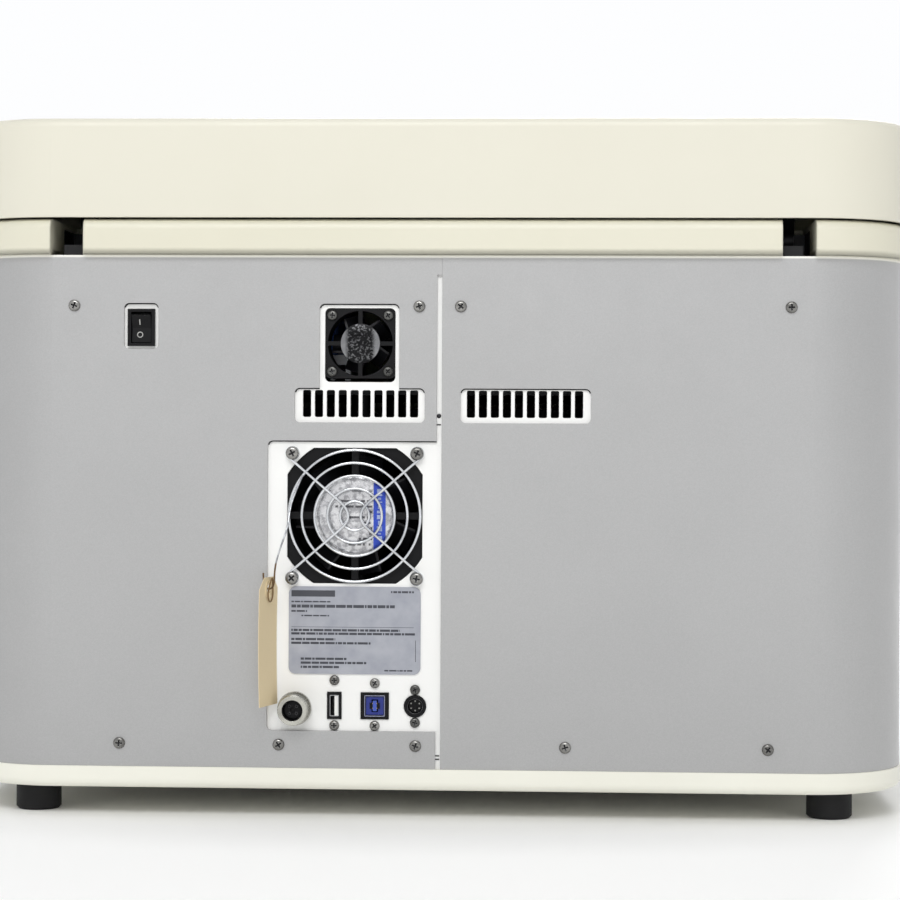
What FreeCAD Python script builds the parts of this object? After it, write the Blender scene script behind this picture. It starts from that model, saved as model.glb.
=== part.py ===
import FreeCAD, Part
import math
import os
import re

import Sketcher
from FreeCAD import Placement, Rotation, Vector

# A bench flow cytometer with a hinged lid over its optics deck.
# The frame: X runs side to side, +Y is the rear with the fans and sockets, +Z is up,
# and the table is at zero. All sizes are in millimetres and angles in degrees.

SIZES = {
    # outline of the casing
    "lid_wide": 556.0,
    "lid_deep": 422.0,
    "lid_corner": 60.0,
    "lid_tall": 57.0,
    "lid_wall": 3.0,
    "lid_roof": 3.5,
    "lid_edge": 5.0,
    "lid_gap": 0.6,
    "trim_proud": 4.0,
    "base_proud": 1.0,
    "inlet_reach": 12.0,
    "foot_tall": 16.5,
    "base_tall": 12.5,
    "cover_tall": 293.5,
    "band_tall": 20.9,
    "cover_wall": 2.0,
    "plate_thick": 2.0,
    "flush_gap": 0.5,
    # feet
    "foot_radius": 13.15,
    "foot_edge": 1.5,
    "foot_dish": 4.0,
    "foot_dish_radius": 5.0,
    "foot_inset": 47.0,
    "foot_end_inset": 35.0,
    # base tray and floor
    "base_floor": 3.0,
    "base_wall": 4.0,
    "base_round": 5.0,
    "rib_thick": 3.0,
    "rib_pitch": 130.0,
    # trim band
    "band_wall": 4.0,
    "band_shelf": 3.0,
    "band_shelf_deep": 16.0,
    "band_foot_deep": 8.0,
    "band_edge": 6.0,
    "scoop_half": 34.0,
    "scoop_tall": 8.0,
    # rear covers and their cut-outs
    "seam_left": -3.8,
    "seam_right": -6.7,
    "seam_drop": 11.0,
    "cut_corner": 3.0,
    "switch_cut_wide": 19.9,
    "switch_cut_low": 268.7,
    "switch_cut_high": 295.0,
    "fan_cut_low_x": 17.8,
    "fan_cut_high_x": 63.5,
    "fan_cut_top": 294.9,
    "vent_cut_low_x": 3.1,
    "vent_cut_high_x": 77.7,
    "side_vent_cut_low_x": -91.7,
    "side_vent_cut_high_x": -17.3,
    "vent_cut_low": 227.0,
    "vent_cut_high": 246.7,
    "port_cut_side": 93.0,
    "port_cut_low": 50.4,
    "port_cut_high": 216.5,
    # vent slots in the rear plate
    "slot_count": 10,
    "slot_wide": 4.74,
    "slot_low": 230.1,
    "slot_high": 245.6,
    "slot_pitch": 6.83,
    "slot_first": 9.3,
    "side_slot_first": -84.9,
    "slot_side_pitch": 6.85,
    "slot_corner": 1.0,
    # rear plate
    "plate_drop": 6.5,
    # lid hinge
    "hinge_inset": 69.0,
    "notch_wide": 19.0,
    "notch_deep": 77.0,
    "cheek_deep": 40.0,
    "cheek_wall": 2.0,
    "pivot_in": 38.0,
    "pivot_drop": 48.6,
    "arm_wide": 9.0,
    "arm_thick": 8.0,
    "arm_shift": 3.0,
    "arm_bend_in": 22.1,
    "arm_bend_up": 40.5,
    "arm_knee_in": 12.1,
    "arm_knee_up": 57.8,
    "arm_foot_long": 34.0,
    "arm_foot_wide": 24.0,
    "arm_foot_thick": 3.0,
    "arm_round": 8.0,
    "hub_radius": 7.0,
    "hub_gap": 0.5,
    "hinge_pin_radius": 2.5,
    "hinge_pin_head": 4.0,
    "pin_head_thick": 1.2,
    "pin_clear": 0.05,
    "bracket_wall": 2.0,
    "bracket_reach": 31.0,
    "bracket_drop": 14.0,
    "stop_wide": 12.0,
    "stop_tall": 12.5,
    "stop_deep": 6.4,
    # cover and panel screws
    "screw_head": 3.4,
    "screw_rise": 1.9,
    "screw_drop": 29.0,
    "screw_lift": 13.3,
    "upper_screw_inset": 13.0,
    "lower_screw_inset": 25.0,
    "switch_screw_inset": 40.0,
    "seam_screw_left": 6.4,
    "seam_screw_right": -17.3,
    "port_screw_left": 86.0,
    "port_screw_right": 7.5,
    "side_screw": -78.0,
    # power switch
    "switch_inset": 51.7,
    "switch_z": 281.0,
    "bezel_wide": 15.8,
    "bezel_tall": 21.4,
    "bezel_proud": 2.0,
    "rocker_wide": 11.0,
    "rocker_tall": 16.0,
    "rocker_side_gap": 0.4,
    "rocker_end_gap": 1.0,
    "rocker_sink": 2.0,
    "rocker_rise": 4.2,
    "rocker_valley": 2.0,
    "rocker_back": 1.5,
    "rocker_belly": 4.0,
    "rocker_tilt": 9.0,
    "rocker_pin_radius": 1.2,
    "rocker_pin_long": 0.7,
    "switch_wall": 0.8,
    "switch_deep": 18.0,
    "switch_cavity": 10.0,
    "blade_long": 8.0,
    "blade_wide": 4.8,
    "blade_thick": 0.8,
    "blade_pitch": 6.0,
    "panel_clear": 0.1,
    # small fan
    "small_fan_x": 40.3,
    "small_fan_z": 272.3,
    "small_fan_side": 40.0,
    "small_fan_deep": 20.0,
    "small_fan_corner": 3.0,
    "small_fan_bore": 18.7,
    "small_fan_hub": 10.8,
    "small_fan_cap": 11.4,
    "small_fan_tip": 16.6,
    "small_fan_blades": 5,
    "small_fan_chord": 5.4,
    "small_fan_strut": 2.4,
    "small_fan_hole": 16.0,
    "small_fan_open_wide": 40.4,
    "small_fan_open_low": 250.2,
    "small_fan_open_high": 292.5,
    # large fan
    "large_fan_x": 43.0,
    "large_fan_z": 173.6,
    "large_fan_side": 80.0,
    "large_fan_deep": 25.0,
    "large_fan_corner": 5.0,
    "large_fan_bore": 38.0,
    "large_fan_hub": 22.5,
    "large_fan_cap": 23.7,
    "large_fan_tip": 34.6,
    "large_fan_blades": 7,
    "large_fan_chord": 7.6,
    "large_fan_strut": 4.0,
    "large_fan_hole": 35.75,
    "large_fan_open_half": 38.85,
    "large_fan_open_radius": 45.5,
    # what both fans share
    "cap_thick": 3.0,
    "cup_wall": 1.5,
    "cup_floor": 2.0,
    "cup_gap": 0.7,
    "cup_front": 2.0,
    "fan_shaft": 1.5,
    "shaft_clear": 0.05,
    "vane_thick": 1.3,
    "vane_low": 3.5,
    "vane_tip_share": 0.75,
    # wire guard of the large fan
    "wire_radius": 0.8,
    "ring_count": 5,
    "ring_first": 8.3,
    "ring_pitch": 7.35,
    "arm_near": 5.0,
    "eyelet_radius": 4.2,
    "guard_stand": 1.6,
    "guard_screw_head": 3.7,
    # rear rating plate and connectors
    "rating_low_x": 4.9,
    "rating_high_x": 80.6,
    "rating_low": 82.9,
    "rating_high": 133.0,
    "rating_corner": 4.0,
    "rating_thick": 0.8,
    "inlet_x": 77.0,
    "inlet_z": 63.0,
    "inlet_flange": 9.7,
    "inlet_flange_thick": 3.0,
    "inlet_barrel": 8.3,
    "inlet_bore": 6.0,
    "inlet_bore_deep": 9.0,
    "usb_a_x": 54.2,
    "usb_b_x": 31.0,
    "minidin_x": 7.9,
    "port_z": 64.8,
    "port_deep": 15.4,
    "port_rise": 0.8,
    "socket_deep": 10.0,
    "usb_a_wide": 8.2,
    "usb_a_tall": 15.5,
    "usb_a_open_wide": 5.2,
    "usb_a_open_tall": 12.2,
    "usb_a_tongue": 1.9,
    "usb_b_wide": 16.1,
    "usb_b_tall": 15.2,
    "usb_b_open_wide": 11.8,
    "usb_b_open_tall": 12.1,
    "usb_b_key_wide": 5.9,
    "usb_b_key_tall": 3.3,
    "minidin_radius": 6.4,
    "minidin_bore": 4.6,
    "port_screw_head": 2.9,
    "port_screw_far": 14.5,
    "port_screw_mid": 13.0,
    "port_screw_near": 9.4,
    "port_screw_low": 11.4,
    "io_board_low_x": -4.0,
    "io_board_high_x": 92.0,
    "io_board_low": 44.0,
    "io_board_high": 92.0,
    "board_thick": 1.6,
    # hanging tag and its wire
    "tag_x": 90.4,
    "tag_wide": 26.0,
    "tag_low": 66.0,
    "tag_high": 139.0,
    "tag_thick": 0.8,
    "tag_turn": 16.0,
    "tag_clear": 1.0,
    "tag_eye_z": 132.3,
    "tag_eye_radius": 2.6,
    "tag_wire_radius": 0.5,
    "tag_loop_half": 3.4,
    "tie_angle": 38.0,
    # optics deck
    "deck_side_gap": 28.0,
    "deck_front_gap": 20.0,
    "deck_rear_gap": 61.0,
    "deck_drop": 78.5,
    "deck_thick": 8.0,
    "deck_corner": 30.0,
    "post_radius": 7.0,
    "post_foot_radius": 12.0,
    "post_foot_thick": 3.0,
    "post_inset": 14.0,
    "post_front_inset": 45.0,
    "post_rear_inset": 13.0,
    # lasers and heat sink
    "sink_wide": 182.0,
    "sink_side_gap": 16.0,
    "sink_deep": 114.0,
    "sink_rear_gap": 6.0,
    "sink_base": 6.0,
    "fin_tall": 10.0,
    "fin_thick": 3.0,
    "fin_pitch": 9.0,
    "laser_count": 4,
    "laser_first_in": 24.0,
    "laser_pitch": 44.0,
    "laser_wide": 32.0,
    "laser_tall": 30.0,
    "laser_inset": 8.0,
    "laser_long": 100.0,
    "laser_edge": 2.0,
    "snout_radius": 7.0,
    "snout_long": 12.0,
    "beam_rise": 32.0,
    # mirrors, lens, flow cell and detectors
    "mirror_gap": 40.0,
    "mount_wide": 22.0,
    "mount_thick": 8.0,
    "mount_turn": 45.0,
    "mirror_radius": 7.0,
    "mirror_thick": 3.0,
    "beam_lens_gap": 34.0,
    "beam_lens_long": 20.0,
    "beam_lens_radius": 9.0,
    "cell_gap": 76.0,
    "cell_wide": 30.0,
    "cell_tall": 58.0,
    "cell_window": 8.0,
    "cuvette_wide": 7.2,
    "cuvette_clear": 0.4,
    "lens_radius": 12.0,
    "lens_long": 32.0,
    "lens_gap": 6.0,
    "saddle_wide": 16.0,
    "scatter_gap": 52.0,
    "scatter_wide": 24.0,
    "scatter_deep": 30.0,
    "scatter_tall": 44.0,
    "rack_far": 150.0,
    "rack_near": 18.0,
    "rack_gap": 58.0,
    "rack_deep": 24.0,
    "rack_tall": 42.0,
    "cassette_count": 4,
    "cassette_pitch": 40.0,
    "cassette_wide": 27.0,
    "cassette_thick": 6.0,
    "cassette_tall": 56.0,
    "cassette_floor": 4.0,
    "cassette_clear": 0.4,
    "filter_radius": 9.0,
    "grip_wide": 12.0,
    "grip_tall": 7.0,
    "detector_long": 64.0,
    "detector_radius": 13.0,
    "detector_neck": 9.0,
    "detector_neck_long": 12.0,
    # front panel
    "fascia_thick": 6.0,
    "fascia_edge": 2.5,
    "opening_corner": 5.0,
    "liner_wall": 2.0,
    "alcove_side": 12.5,
    "alcove_low": 33.0,
    "bay_roof_gap": 8.0,
    "alcove_deep": 158.0,
    "bay_wide": 130.0,
    "bay_side": 25.5,
    "bay_pillar": 32.0,
    "bay_low": 60.0,
    "bay_deep": 103.0,
    "button_drop": 46.5,
    "button_radius": 11.0,
    "button_gap": 0.4,
    "button_dish": 1.0,
    "button_stem": 4.0,
    "button_travel": 2.5,
    "button_box_half": 14.0,
    "button_box_deep": 16.0,
    "light_half": 30.0,
    "light_drop": 22.5,
    "light_tall": 5.0,
    "light_thick": 3.0,
    # fluid tanks
    "tank_side_gap": 17.5,
    "tank_deep": 146.0,
    "tank_head_gap": 53.0,
    "tank_corner": 14.0,
    "tank_shoulder": 6.0,
    "tank_gap": 8.0,
    "tank_lift": 0.4,
    "neck_radius": 19.0,
    "neck_tall": 8.0,
    "cap_radius": 22.0,
    "cap_tall": 16.0,
    "nozzle_radius": 4.0,
    "nozzle_tall": 8.0,
    # sample probe, lifter and tube
    "probe_y": -158.0,
    "probe_radius": 0.8,
    "probe_long": 72.0,
    "probe_block_half": 13.0,
    "probe_block_tall": 14.0,
    "tube_radius": 6.0,
    "tube_wall": 0.9,
    "tube_tall": 75.0,
    "cup_radius": 9.5,
    "cup_tall": 18.0,
    "cup_clear": 0.2,
    "cup_base": 3.0,
    "lifter_floor_gap": 6.0,
    "carriage_half": 16.0,
    "carriage_thick": 9.0,
    "carriage_tall": 30.0,
    "rail_half": 5.0,
    "rail_thick": 4.0,
    "rail_gap": 0.4,
    "lifter_arm_half": 6.0,
    # syringe pump
    "pump_shift": 17.0,
    "pump_gap": 10.0,
    "pump_half": 30.0,
    "pump_deep": 52.0,
    "pump_base_tall": 46.0,
    "pump_top_gap": 22.0,
    "column_thick": 14.0,
    "barrel_radius": 9.0,
    "barrel_bore": 7.0,
    "barrel_low": 140.0,
    "valve_tall": 22.0,
    "valve_half": 18.0,
    "piston_gap": 0.3,
    "piston_tall": 8.0,
    "piston_low": 146.0,
    "rod_radius": 2.5,
    "slider_half": 14.0,
    "slider_tall": 10.0,
    "slider_low": 84.0,
    "slider_gap": 0.5,
    # sheath pump and valve block
    "sheath_pump_shift": 78.0,
    "sheath_pump_gap": 44.0,
    "sheath_pump_radius": 24.0,
    "sheath_pump_tall": 62.0,
    "sheath_head_radius": 19.0,
    "sheath_head_tall": 22.0,
    "manifold_wide": 76.0,
    "manifold_gap": 40.0,
    "manifold_deep": 28.0,
    "manifold_tall": 34.0,
    "valve_count": 4,
    "valve_radius": 8.0,
    "solenoid_tall": 30.0,
    # electronics
    "board_side_gap": 28.0,
    "board_wide": 202.0,
    "board_gap": 21.0,
    "board_rear_gap": 8.0,
    "board_lift": 8.0,
    "standoff_radius": 3.0,
    "standoff_inset": 8.0,
    "chip_wide": 32.0,
    "chip_tall": 5.0,
    "chip_pitch": 48.0,
    "chip_count": 4,
    "connector_long": 90.0,
    "connector_wide": 9.0,
    "connector_tall": 12.0,
    "card_x": -60.0,
    "card_deep": 72.0,
    "card_rear_gap": 19.0,
    "card_tall": 150.0,
    "card_gap": 18.0,
    "card_count": 2,
    "supply_wide": 102.0,
    "supply_side_gap": 4.0,
    "supply_gap": 34.0,
    "supply_rear_gap": 39.0,
    "supply_tall": 52.0,
    "supply_edge": 3.0,
}

# Places worked out from the sizes.
PLACES = {
    "plan_mid": "(trim_proud - inlet_reach)/2",
    "lid_front": "plan_mid - lid_deep/2",
    "lid_rear": "plan_mid + lid_deep/2",
    "cover_rear": "lid_rear - trim_proud",
    "plate_rear": "cover_rear - cover_wall",
    "plate_front": "plate_rear - plate_thick",
    "base_inset": "trim_proud - base_proud",
    "base_bottom": "foot_tall",
    "base_top": "foot_tall + base_tall",
    "rib_tall": "base_tall - base_floor - plate_thick",
    "cover_top": "base_top + cover_tall",
    "band_top": "cover_top + band_tall",
    "lid_bottom": "band_top + lid_gap",
    "lid_top": "lid_bottom + lid_tall",
    "roof_low": "lid_top - lid_roof",
    "corner_start": "lid_wide/2 - lid_corner",
    "foot_side": "lid_wide/2 - foot_inset",
    "foot_from_mid": "lid_deep/2 - foot_end_inset",
    "plate_top": "cover_top - plate_drop",
    "seam_top": "cover_top - seam_drop",
    "screw_upper": "cover_top - screw_drop",
    "screw_lower": "base_top + screw_lift",
    "hinge_x": "lid_wide/2 - hinge_inset",
    "pivot_y": "lid_rear - pivot_in",
    "pivot_z": "lid_bottom - pivot_drop",
    "arm_x": "hinge_x - arm_shift",
    "bracket_low": "pivot_z - bracket_drop",
    "bracket_front": "pivot_y - bracket_reach",
    "bracket_rear": "lid_rear - cheek_deep - flush_gap",
    "bracket_top": "band_top - band_shelf - flush_gap",
    "switch_x": "corner_start - switch_inset",
    "switch_pivot": "plate_rear - rocker_sink",
    "cavity_wide": "rocker_wide + 2*rocker_side_gap",
    "cavity_tall": "rocker_tall + 2*rocker_end_gap",
    "housing_wide": "cavity_wide + 2*switch_wall",
    "housing_tall": "cavity_tall + 2*switch_wall",
    "inlet_tip": "cover_rear + inlet_reach",
    "io_board_rear": "plate_rear - port_deep",
    "deck_low": "cover_top - deck_drop",
    "deck_top": "deck_low + deck_thick",
    "beam_z": "deck_top + beam_rise",
    "sink_top": "deck_top + fin_tall + sink_base",
    "deck_side": "lid_wide/2 - deck_side_gap",
    "deck_front": "lid_front + deck_front_gap",
    "deck_rear": "plate_front - deck_rear_gap",
    "post_x": "deck_side - post_inset",
    "post_mid_x": "(alcove_high_x + bay_low_x)/2",
    "post_front": "deck_front + post_front_inset",
    "post_rear": "deck_rear - post_rear_inset",
    "sink_high_x": "deck_side - sink_side_gap",
    "sink_low_x": "sink_high_x - sink_wide",
    "sink_rear": "deck_rear - sink_rear_gap",
    "sink_front": "sink_rear - sink_deep",
    "laser_first": "sink_low_x + laser_first_in",
    "laser_front": "sink_front + laser_inset",
    "laser_rear": "laser_front + laser_long",
    "mirror_y": "laser_front - mirror_gap",
    "cell_x": "laser_first - cell_gap",
    "beam_lens_x": "cell_x + beam_lens_gap",
    "scatter_x": "cell_x - scatter_gap",
    "rack_low_x": "cell_x - rack_far",
    "rack_high_x": "cell_x + rack_near",
    "rack_rear": "mirror_y - rack_gap",
    "rack_front": "rack_rear - rack_deep",
    "detector_rear": "rack_front",
    "detector_front": "rack_front - detector_long",
    "fascia_side": "corner_start - flush_gap",
    "fascia_back": "lid_front + fascia_thick",
    "bay_high_x": "fascia_side - bay_side",
    "bay_low_x": "bay_high_x - bay_wide",
    "bay_mid": "(bay_low_x + bay_high_x)/2",
    "bay_high": "deck_low - bay_roof_gap",
    "alcove_high": "deck_low - bay_roof_gap",
    "probe_tip": "bay_high - probe_block_tall - probe_long",
    "button_z": "cover_top - button_drop",
    "light_low": "cover_top - light_drop",
    "light_high": "light_low + light_tall",
    "alcove_low_x": "alcove_side - fascia_side",
    "alcove_high_x": "bay_low_x - bay_pillar",
    "bay_back": "fascia_back + bay_deep",
    "alcove_back": "fascia_back + alcove_deep",
    "tank_low": "alcove_low + tank_lift",
    "tank_tall": "alcove_high - alcove_low - tank_head_gap",
    "tank_wide": "(alcove_high_x - alcove_low_x)/2 - tank_side_gap",
    "lifter_low": "bay_low + lifter_floor_gap",
    "rail_front": "bay_back - rail_thick",
    "pump_x": "bay_mid - pump_shift",
    "pump_top": "deck_low - pump_top_gap",
    "pump_front": "bay_back + pump_gap",
    "pump_rear": "pump_front + pump_deep",
    "sheath_pump_x": "pump_x + sheath_pump_shift",
    "sheath_pump_y": "bay_back + sheath_pump_gap",
    "manifold_low_x": "sheath_pump_x - manifold_wide/2",
    "manifold_high_x": "sheath_pump_x + manifold_wide/2",
    "manifold_front": "sheath_pump_y + manifold_gap",
    "manifold_rear": "manifold_front + manifold_deep",
    "supply_high_x": "corner_start - supply_side_gap",
    "supply_low_x": "supply_high_x - supply_wide",
    "supply_front": "manifold_rear + supply_gap",
    "supply_rear": "plate_front - supply_rear_gap",
    "card_rear": "plate_front - card_rear_gap",
    "card_front": "card_rear - card_deep",
    "board_low_x": "board_side_gap - deck_side",
    "board_high_x": "board_low_x + board_wide",
    "board_front": "alcove_back + board_gap",
    "board_rear": "card_front - board_rear_gap",
    "barrel_y": "pump_front + pump_deep - column_thick - barrel_radius - 5*slider_gap",
    "guard_y": "plate_rear + guard_stand - wire_radius",
    "guard_face": "guard_y + 3.2*wire_radius",
    "tie_radius": "ring_first + (ring_count - 1)*ring_pitch",
    "tag_near": "cover_rear + tag_clear",
    "tag_y": "tag_near + tag_wide*cos(tag_turn)/2",
}

DOC = FreeCAD.newDocument("flow_cytometer")
SHEET = DOC.addObject("Spreadsheet::Sheet", "dims")
for row, (size_name, size) in enumerate(SIZES.items(), 1):
    SHEET.set(f"A{row}", size_name)
    SHEET.set(f"B{row}", str(size))
    SHEET.setAlias(f"B{row}", size_name)
DOC.recompute()

NODES = []
WORD = re.compile(r"[a-z][a-z0-9_]*")
# How near two measured places lie when they count as one.
SAME = 0.01
# How a piece built along Z is turned to lie along another axis.
TURNS = {
    "x": Rotation(Vector(0, 1, 0), 90),
    "y": Rotation(Vector(1, 0, 0), -90),
    "z": Rotation(),
}
SIDES = (-1, 1)


def ref(text):
    """Write an expression on the sheet from the names of sizes and places."""

    def swap(match):
        word = match.group(0)
        if word in PLACES:
            return f"({ref(PLACES[word])})"
        return f"dims.{word}" if word in SIZES else word

    return WORD.sub(swap, str(text))


def value(text):
    """The number that an expression gives."""
    return float(SHEET.evalExpression(ref(text)))


def whole(name):
    """A count from the sheet."""
    return int(round(value(name)))


def bind(thing, **fields):
    """Tie properties of an object to the sheet."""
    for field, text in fields.items():
        thing.setExpression(field, ref(text))


def place(thing, across="0", along="0", up="0"):
    """Tie the place of an object to the sheet."""
    for axis, text in zip("xyz", (across, along, up)):
        thing.setExpression(f"Placement.Base.{axis}", ref(text))
    return thing


def node(name, thing):
    """Keep an object as a named sub-part of the model."""
    thing.Label = name
    NODES.append(thing)
    return thing


# Simple solids and how they are combined

def block(name, across, along, up):
    """A box between a low and a high place each way."""
    box = DOC.addObject("Part::Box", name)
    for side, (low, high) in zip(("Length", "Width", "Height"), (across, along, up)):
        box.setExpression(side, ref(f"({high}) - ({low})"))
    return place(box, across[0], along[0], up[0])


def centred(middle, size):
    """The low and high places of a size about its middle."""
    return f"({middle}) - ({size})/2", f"({middle}) + ({size})/2"


def rod(name, axis, start, radius, length):
    """A round bar that runs from its start along one axis."""
    bar = DOC.addObject("Part::Cylinder", name)
    bar.Placement = Placement(Vector(), TURNS[axis])
    bind(bar, Radius=radius, Height=length)
    return place(bar, *start)


def joined(name, pieces):
    """Several solids made one."""
    if len(pieces) == 1:
        return pieces[0]
    fuse = DOC.addObject("Part::MultiFuse", name)
    fuse.Shapes = pieces
    return fuse


def less(name, base, tools):
    """A solid with others cut out of it."""
    cut = DOC.addObject("Part::Cut", name)
    cut.Base = base
    cut.Tool = joined(f"{name}_cutters", tools)
    return cut


def shared(name, first, second):
    """What two solids have in common."""
    common = DOC.addObject("Part::Common", name)
    common.Base = first
    common.Tool = second
    return common


def group(name, pieces):
    """Separate solids kept in one sub-part."""
    together = DOC.addObject("Part::Compound", name)
    together.Links = pieces
    return together


# Sketches and the features made from them

def new_body(name):
    return DOC.addObject("PartDesign::Body", name)


def sketch_on(body, name, plane, shift="0"):
    """A sketch on one of the body's own planes, moved along the plane's normal."""
    sketch = body.newObject("Sketcher::SketchObject", name)
    flat = next(part for part in body.Origin.OriginFeatures if part.Role == plane)
    sketch.AttachmentSupport = [(flat, "")]
    sketch.MapMode = "FlatFace"
    sketch.setExpression("AttachmentOffset.Base.z", ref(shift))
    return sketch


def hold(sketch, kind, target, text):
    """A measured constraint that follows the sheet."""
    number = sketch.addConstraint(Sketcher.Constraint(kind, *target, value(text)))
    sketch.setExpression(f"Constraints[{number}]", ref(text))


def closed(sketch, points):
    """A closed outline with a measured place for each corner."""
    first = sketch.GeometryCount
    spots = [Vector(value(across), value(up), 0) for across, up in points]
    for number, spot in enumerate(spots):
        sketch.addGeometry(Part.LineSegment(spot, spots[(number + 1) % len(spots)]), False)
    for number, (across, up) in enumerate(points):
        following = first + (number + 1) % len(points)
        sketch.addConstraint(Sketcher.Constraint("Coincident", first + number, 2, following, 1))
        hold(sketch, "DistanceX", (-1, 1, first + number, 1), across)
        hold(sketch, "DistanceY", (-1, 1, first + number, 1), up)
    return sketch


def rectangle(sketch, across, up):
    """A square-cornered rectangle between two places each way."""
    (left, right), (low, high) = across, up
    return closed(sketch, [(left, low), (right, low), (right, high), (left, high)])


def circle(sketch, across, up, radius):
    """A circle with a measured middle and radius."""
    middle = Vector(value(across), value(up), 0)
    number = sketch.addGeometry(Part.Circle(middle, Vector(0, 0, 1), value(radius)), False)
    hold(sketch, "DistanceX", (-1, 1, number, 3), across)
    hold(sketch, "DistanceY", (-1, 1, number, 3), up)
    hold(sketch, "Radius", (number,), radius)
    return sketch


def rounded(sketch, across, up, radius):
    """A rectangle with round corners between two places each way."""
    left, right, low, high = (value(text) for text in (*across, *up))
    bend = value(radius)
    first = sketch.GeometryCount
    runs = (
        ((left + bend, low), (right - bend, low)),
        ((right, low + bend), (right, high - bend)),
        ((right - bend, high), (left + bend, high)),
        ((left, high - bend), (left, low + bend)),
    )
    for start, end in runs:
        sketch.addGeometry(Part.LineSegment(Vector(*start, 0), Vector(*end, 0)), False)
    middles = (
        (left + bend, low + bend),
        (right - bend, low + bend),
        (right - bend, high - bend),
        (left + bend, high - bend),
    )
    for turn, middle in enumerate(middles):
        ring = Part.Circle(Vector(*middle, 0), Vector(0, 0, 1), bend)
        start = math.pi * (1 + turn / 2)
        sketch.addGeometry(Part.ArcOfCircle(ring, start, start + math.pi / 2), False)
    for turn in range(4):
        arc = first + 4 + turn
        before = first + (turn + 3) % 4
        sketch.addConstraint(Sketcher.Constraint("Tangent", before, 2, arc, 1))
        sketch.addConstraint(Sketcher.Constraint("Tangent", arc, 2, first + turn, 1))
        if turn:
            sketch.addConstraint(Sketcher.Constraint("Equal", first + 4, arc))
    for number in (0, 2):
        sketch.addConstraint(Sketcher.Constraint("Horizontal", first + number))
        sketch.addConstraint(Sketcher.Constraint("Vertical", first + number + 1))
    hold(sketch, "Radius", (first + 4,), radius)
    hold(sketch, "DistanceX", (-1, 1, first + 3, 1), across[0])
    hold(sketch, "DistanceX", (-1, 1, first + 1, 1), across[1])
    hold(sketch, "DistanceY", (-1, 1, first, 1), up[0])
    hold(sketch, "DistanceY", (-1, 1, first + 2, 1), up[1])
    return sketch


def plan(sketch, inset):
    """The casing's plan outline, drawn in by an inset from the lid's outline."""
    return rounded(
        sketch,
        (f"({inset}) - lid_wide/2", f"lid_wide/2 - ({inset})"),
        (f"lid_front + ({inset})", f"lid_rear - ({inset})"),
        f"lid_corner - ({inset})",
    )


def pad(body, sketch, length, backward=False):
    """Grow a sketch along its normal, or against it."""
    feature = body.newObject("PartDesign::Pad", f"{sketch.Name}_pad")
    feature.Profile = sketch
    feature.Reversed = backward
    bind(feature, Length=length)
    return feature


def pocket(body, sketch, depth, forward=False):
    """Cut a sketch into the body against its normal, or along it."""
    feature = body.newObject("PartDesign::Pocket", f"{sketch.Name}_pocket")
    feature.Profile = sketch
    feature.Reversed = forward
    bind(feature, Length=depth)
    return feature


def cut_through(body, sketch):
    """Cut a sketch right through the body both ways."""
    feature = body.newObject("PartDesign::Pocket", f"{sketch.Name}_cut")
    feature.Profile = sketch
    feature.Type = "ThroughAll"
    feature.Midplane = True
    return feature


def round_edges(body, name, radius, wanted):
    """Fillet the edges of a body that pass a test."""
    DOC.recompute()
    tip = body.Tip
    names = [f"Edge{number}" for number, edge in enumerate(tip.Shape.Edges, 1) if wanted(edge)]
    feature = body.newObject("PartDesign::Fillet", name)
    feature.Base = (tip, names)
    bind(feature, Radius=radius)
    return feature


def level(edge, axis, text):
    """Whether an edge lies wholly at one place along an axis."""
    spot = value(text)
    box = edge.BoundBox
    ends = {"x": (box.XMin, box.XMax), "y": (box.YMin, box.YMax), "z": (box.ZMin, box.ZMax)}[axis]
    return max(abs(end - spot) for end in ends) < SAME


def upright(edge):
    """Whether an edge is a straight line along Z."""
    box = edge.BoundBox
    return box.XLength < SAME and box.YLength < SAME


def crosswise(edge):
    """Whether an edge is a straight line along X."""
    box = edge.BoundBox
    return box.YLength < SAME and box.ZLength < SAME


def turned(name, profile):
    """A round piece made by turning an outline of radii and heights about Z."""
    body = new_body(name)
    sketch = closed(sketch_on(body, f"{name}_profile", "XZ_Plane"), profile)
    feature = body.newObject("PartDesign::Revolution", f"{name}_turn")
    feature.Profile = sketch
    feature.ReferenceAxis = (sketch, ["V_Axis"])
    feature.Angle = 360
    return body


def aim(body, axis, across, along, up):
    """Lay a piece built along Z along another axis, at a place."""
    body.Placement = Placement(Vector(), TURNS[axis])
    return place(body, across, along, up)


def wire_along(name, points, radius, bends=None):
    """A round wire along straight runs with tangent arcs at the inner points."""
    spots = [Vector(*(value(text) for text in point)) for point in points]
    thick = value(radius)
    edges = []
    start = spots[0]
    radii = []
    for number in range(1, len(spots) - 1):
        before, corner, after = spots[number - 1:number + 2]
        inward = (before - corner).normalize()
        outward = (after - corner).normalize()
        turn = math.pi - inward.getAngle(outward)
        shorter = min((before - corner).Length, (after - corner).Length)
        reach = 0.45 * shorter if bends is None else value(bends) * math.tan(turn / 2)
        bend = reach / math.tan(turn / 2)
        radii.append(round(bend, 1))
        first = corner + inward * reach
        last = corner + outward * reach
        toward = (inward + outward).normalize()
        middle = corner + toward * (bend / math.cos(turn / 2) - bend)
        edges.append(Part.LineSegment(start, first).toShape())
        edges.append(Part.Arc(first, middle, last).toShape())
        start = last
    edges.append(Part.LineSegment(start, spots[-1]).toShape())
    path = Part.Wire(edges)
    ring = Part.Circle(spots[0], spots[1] - spots[0], thick)
    solid = path.makePipeShell([Part.Wire(ring.toShape())], True, True)
    print(name, "bends", radii, "volume share", round(solid.Volume / (path.Length * math.pi * thick**2), 4))
    feature = DOC.addObject("Part::Feature", name)
    feature.Shape = solid
    return feature


# Casing

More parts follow.
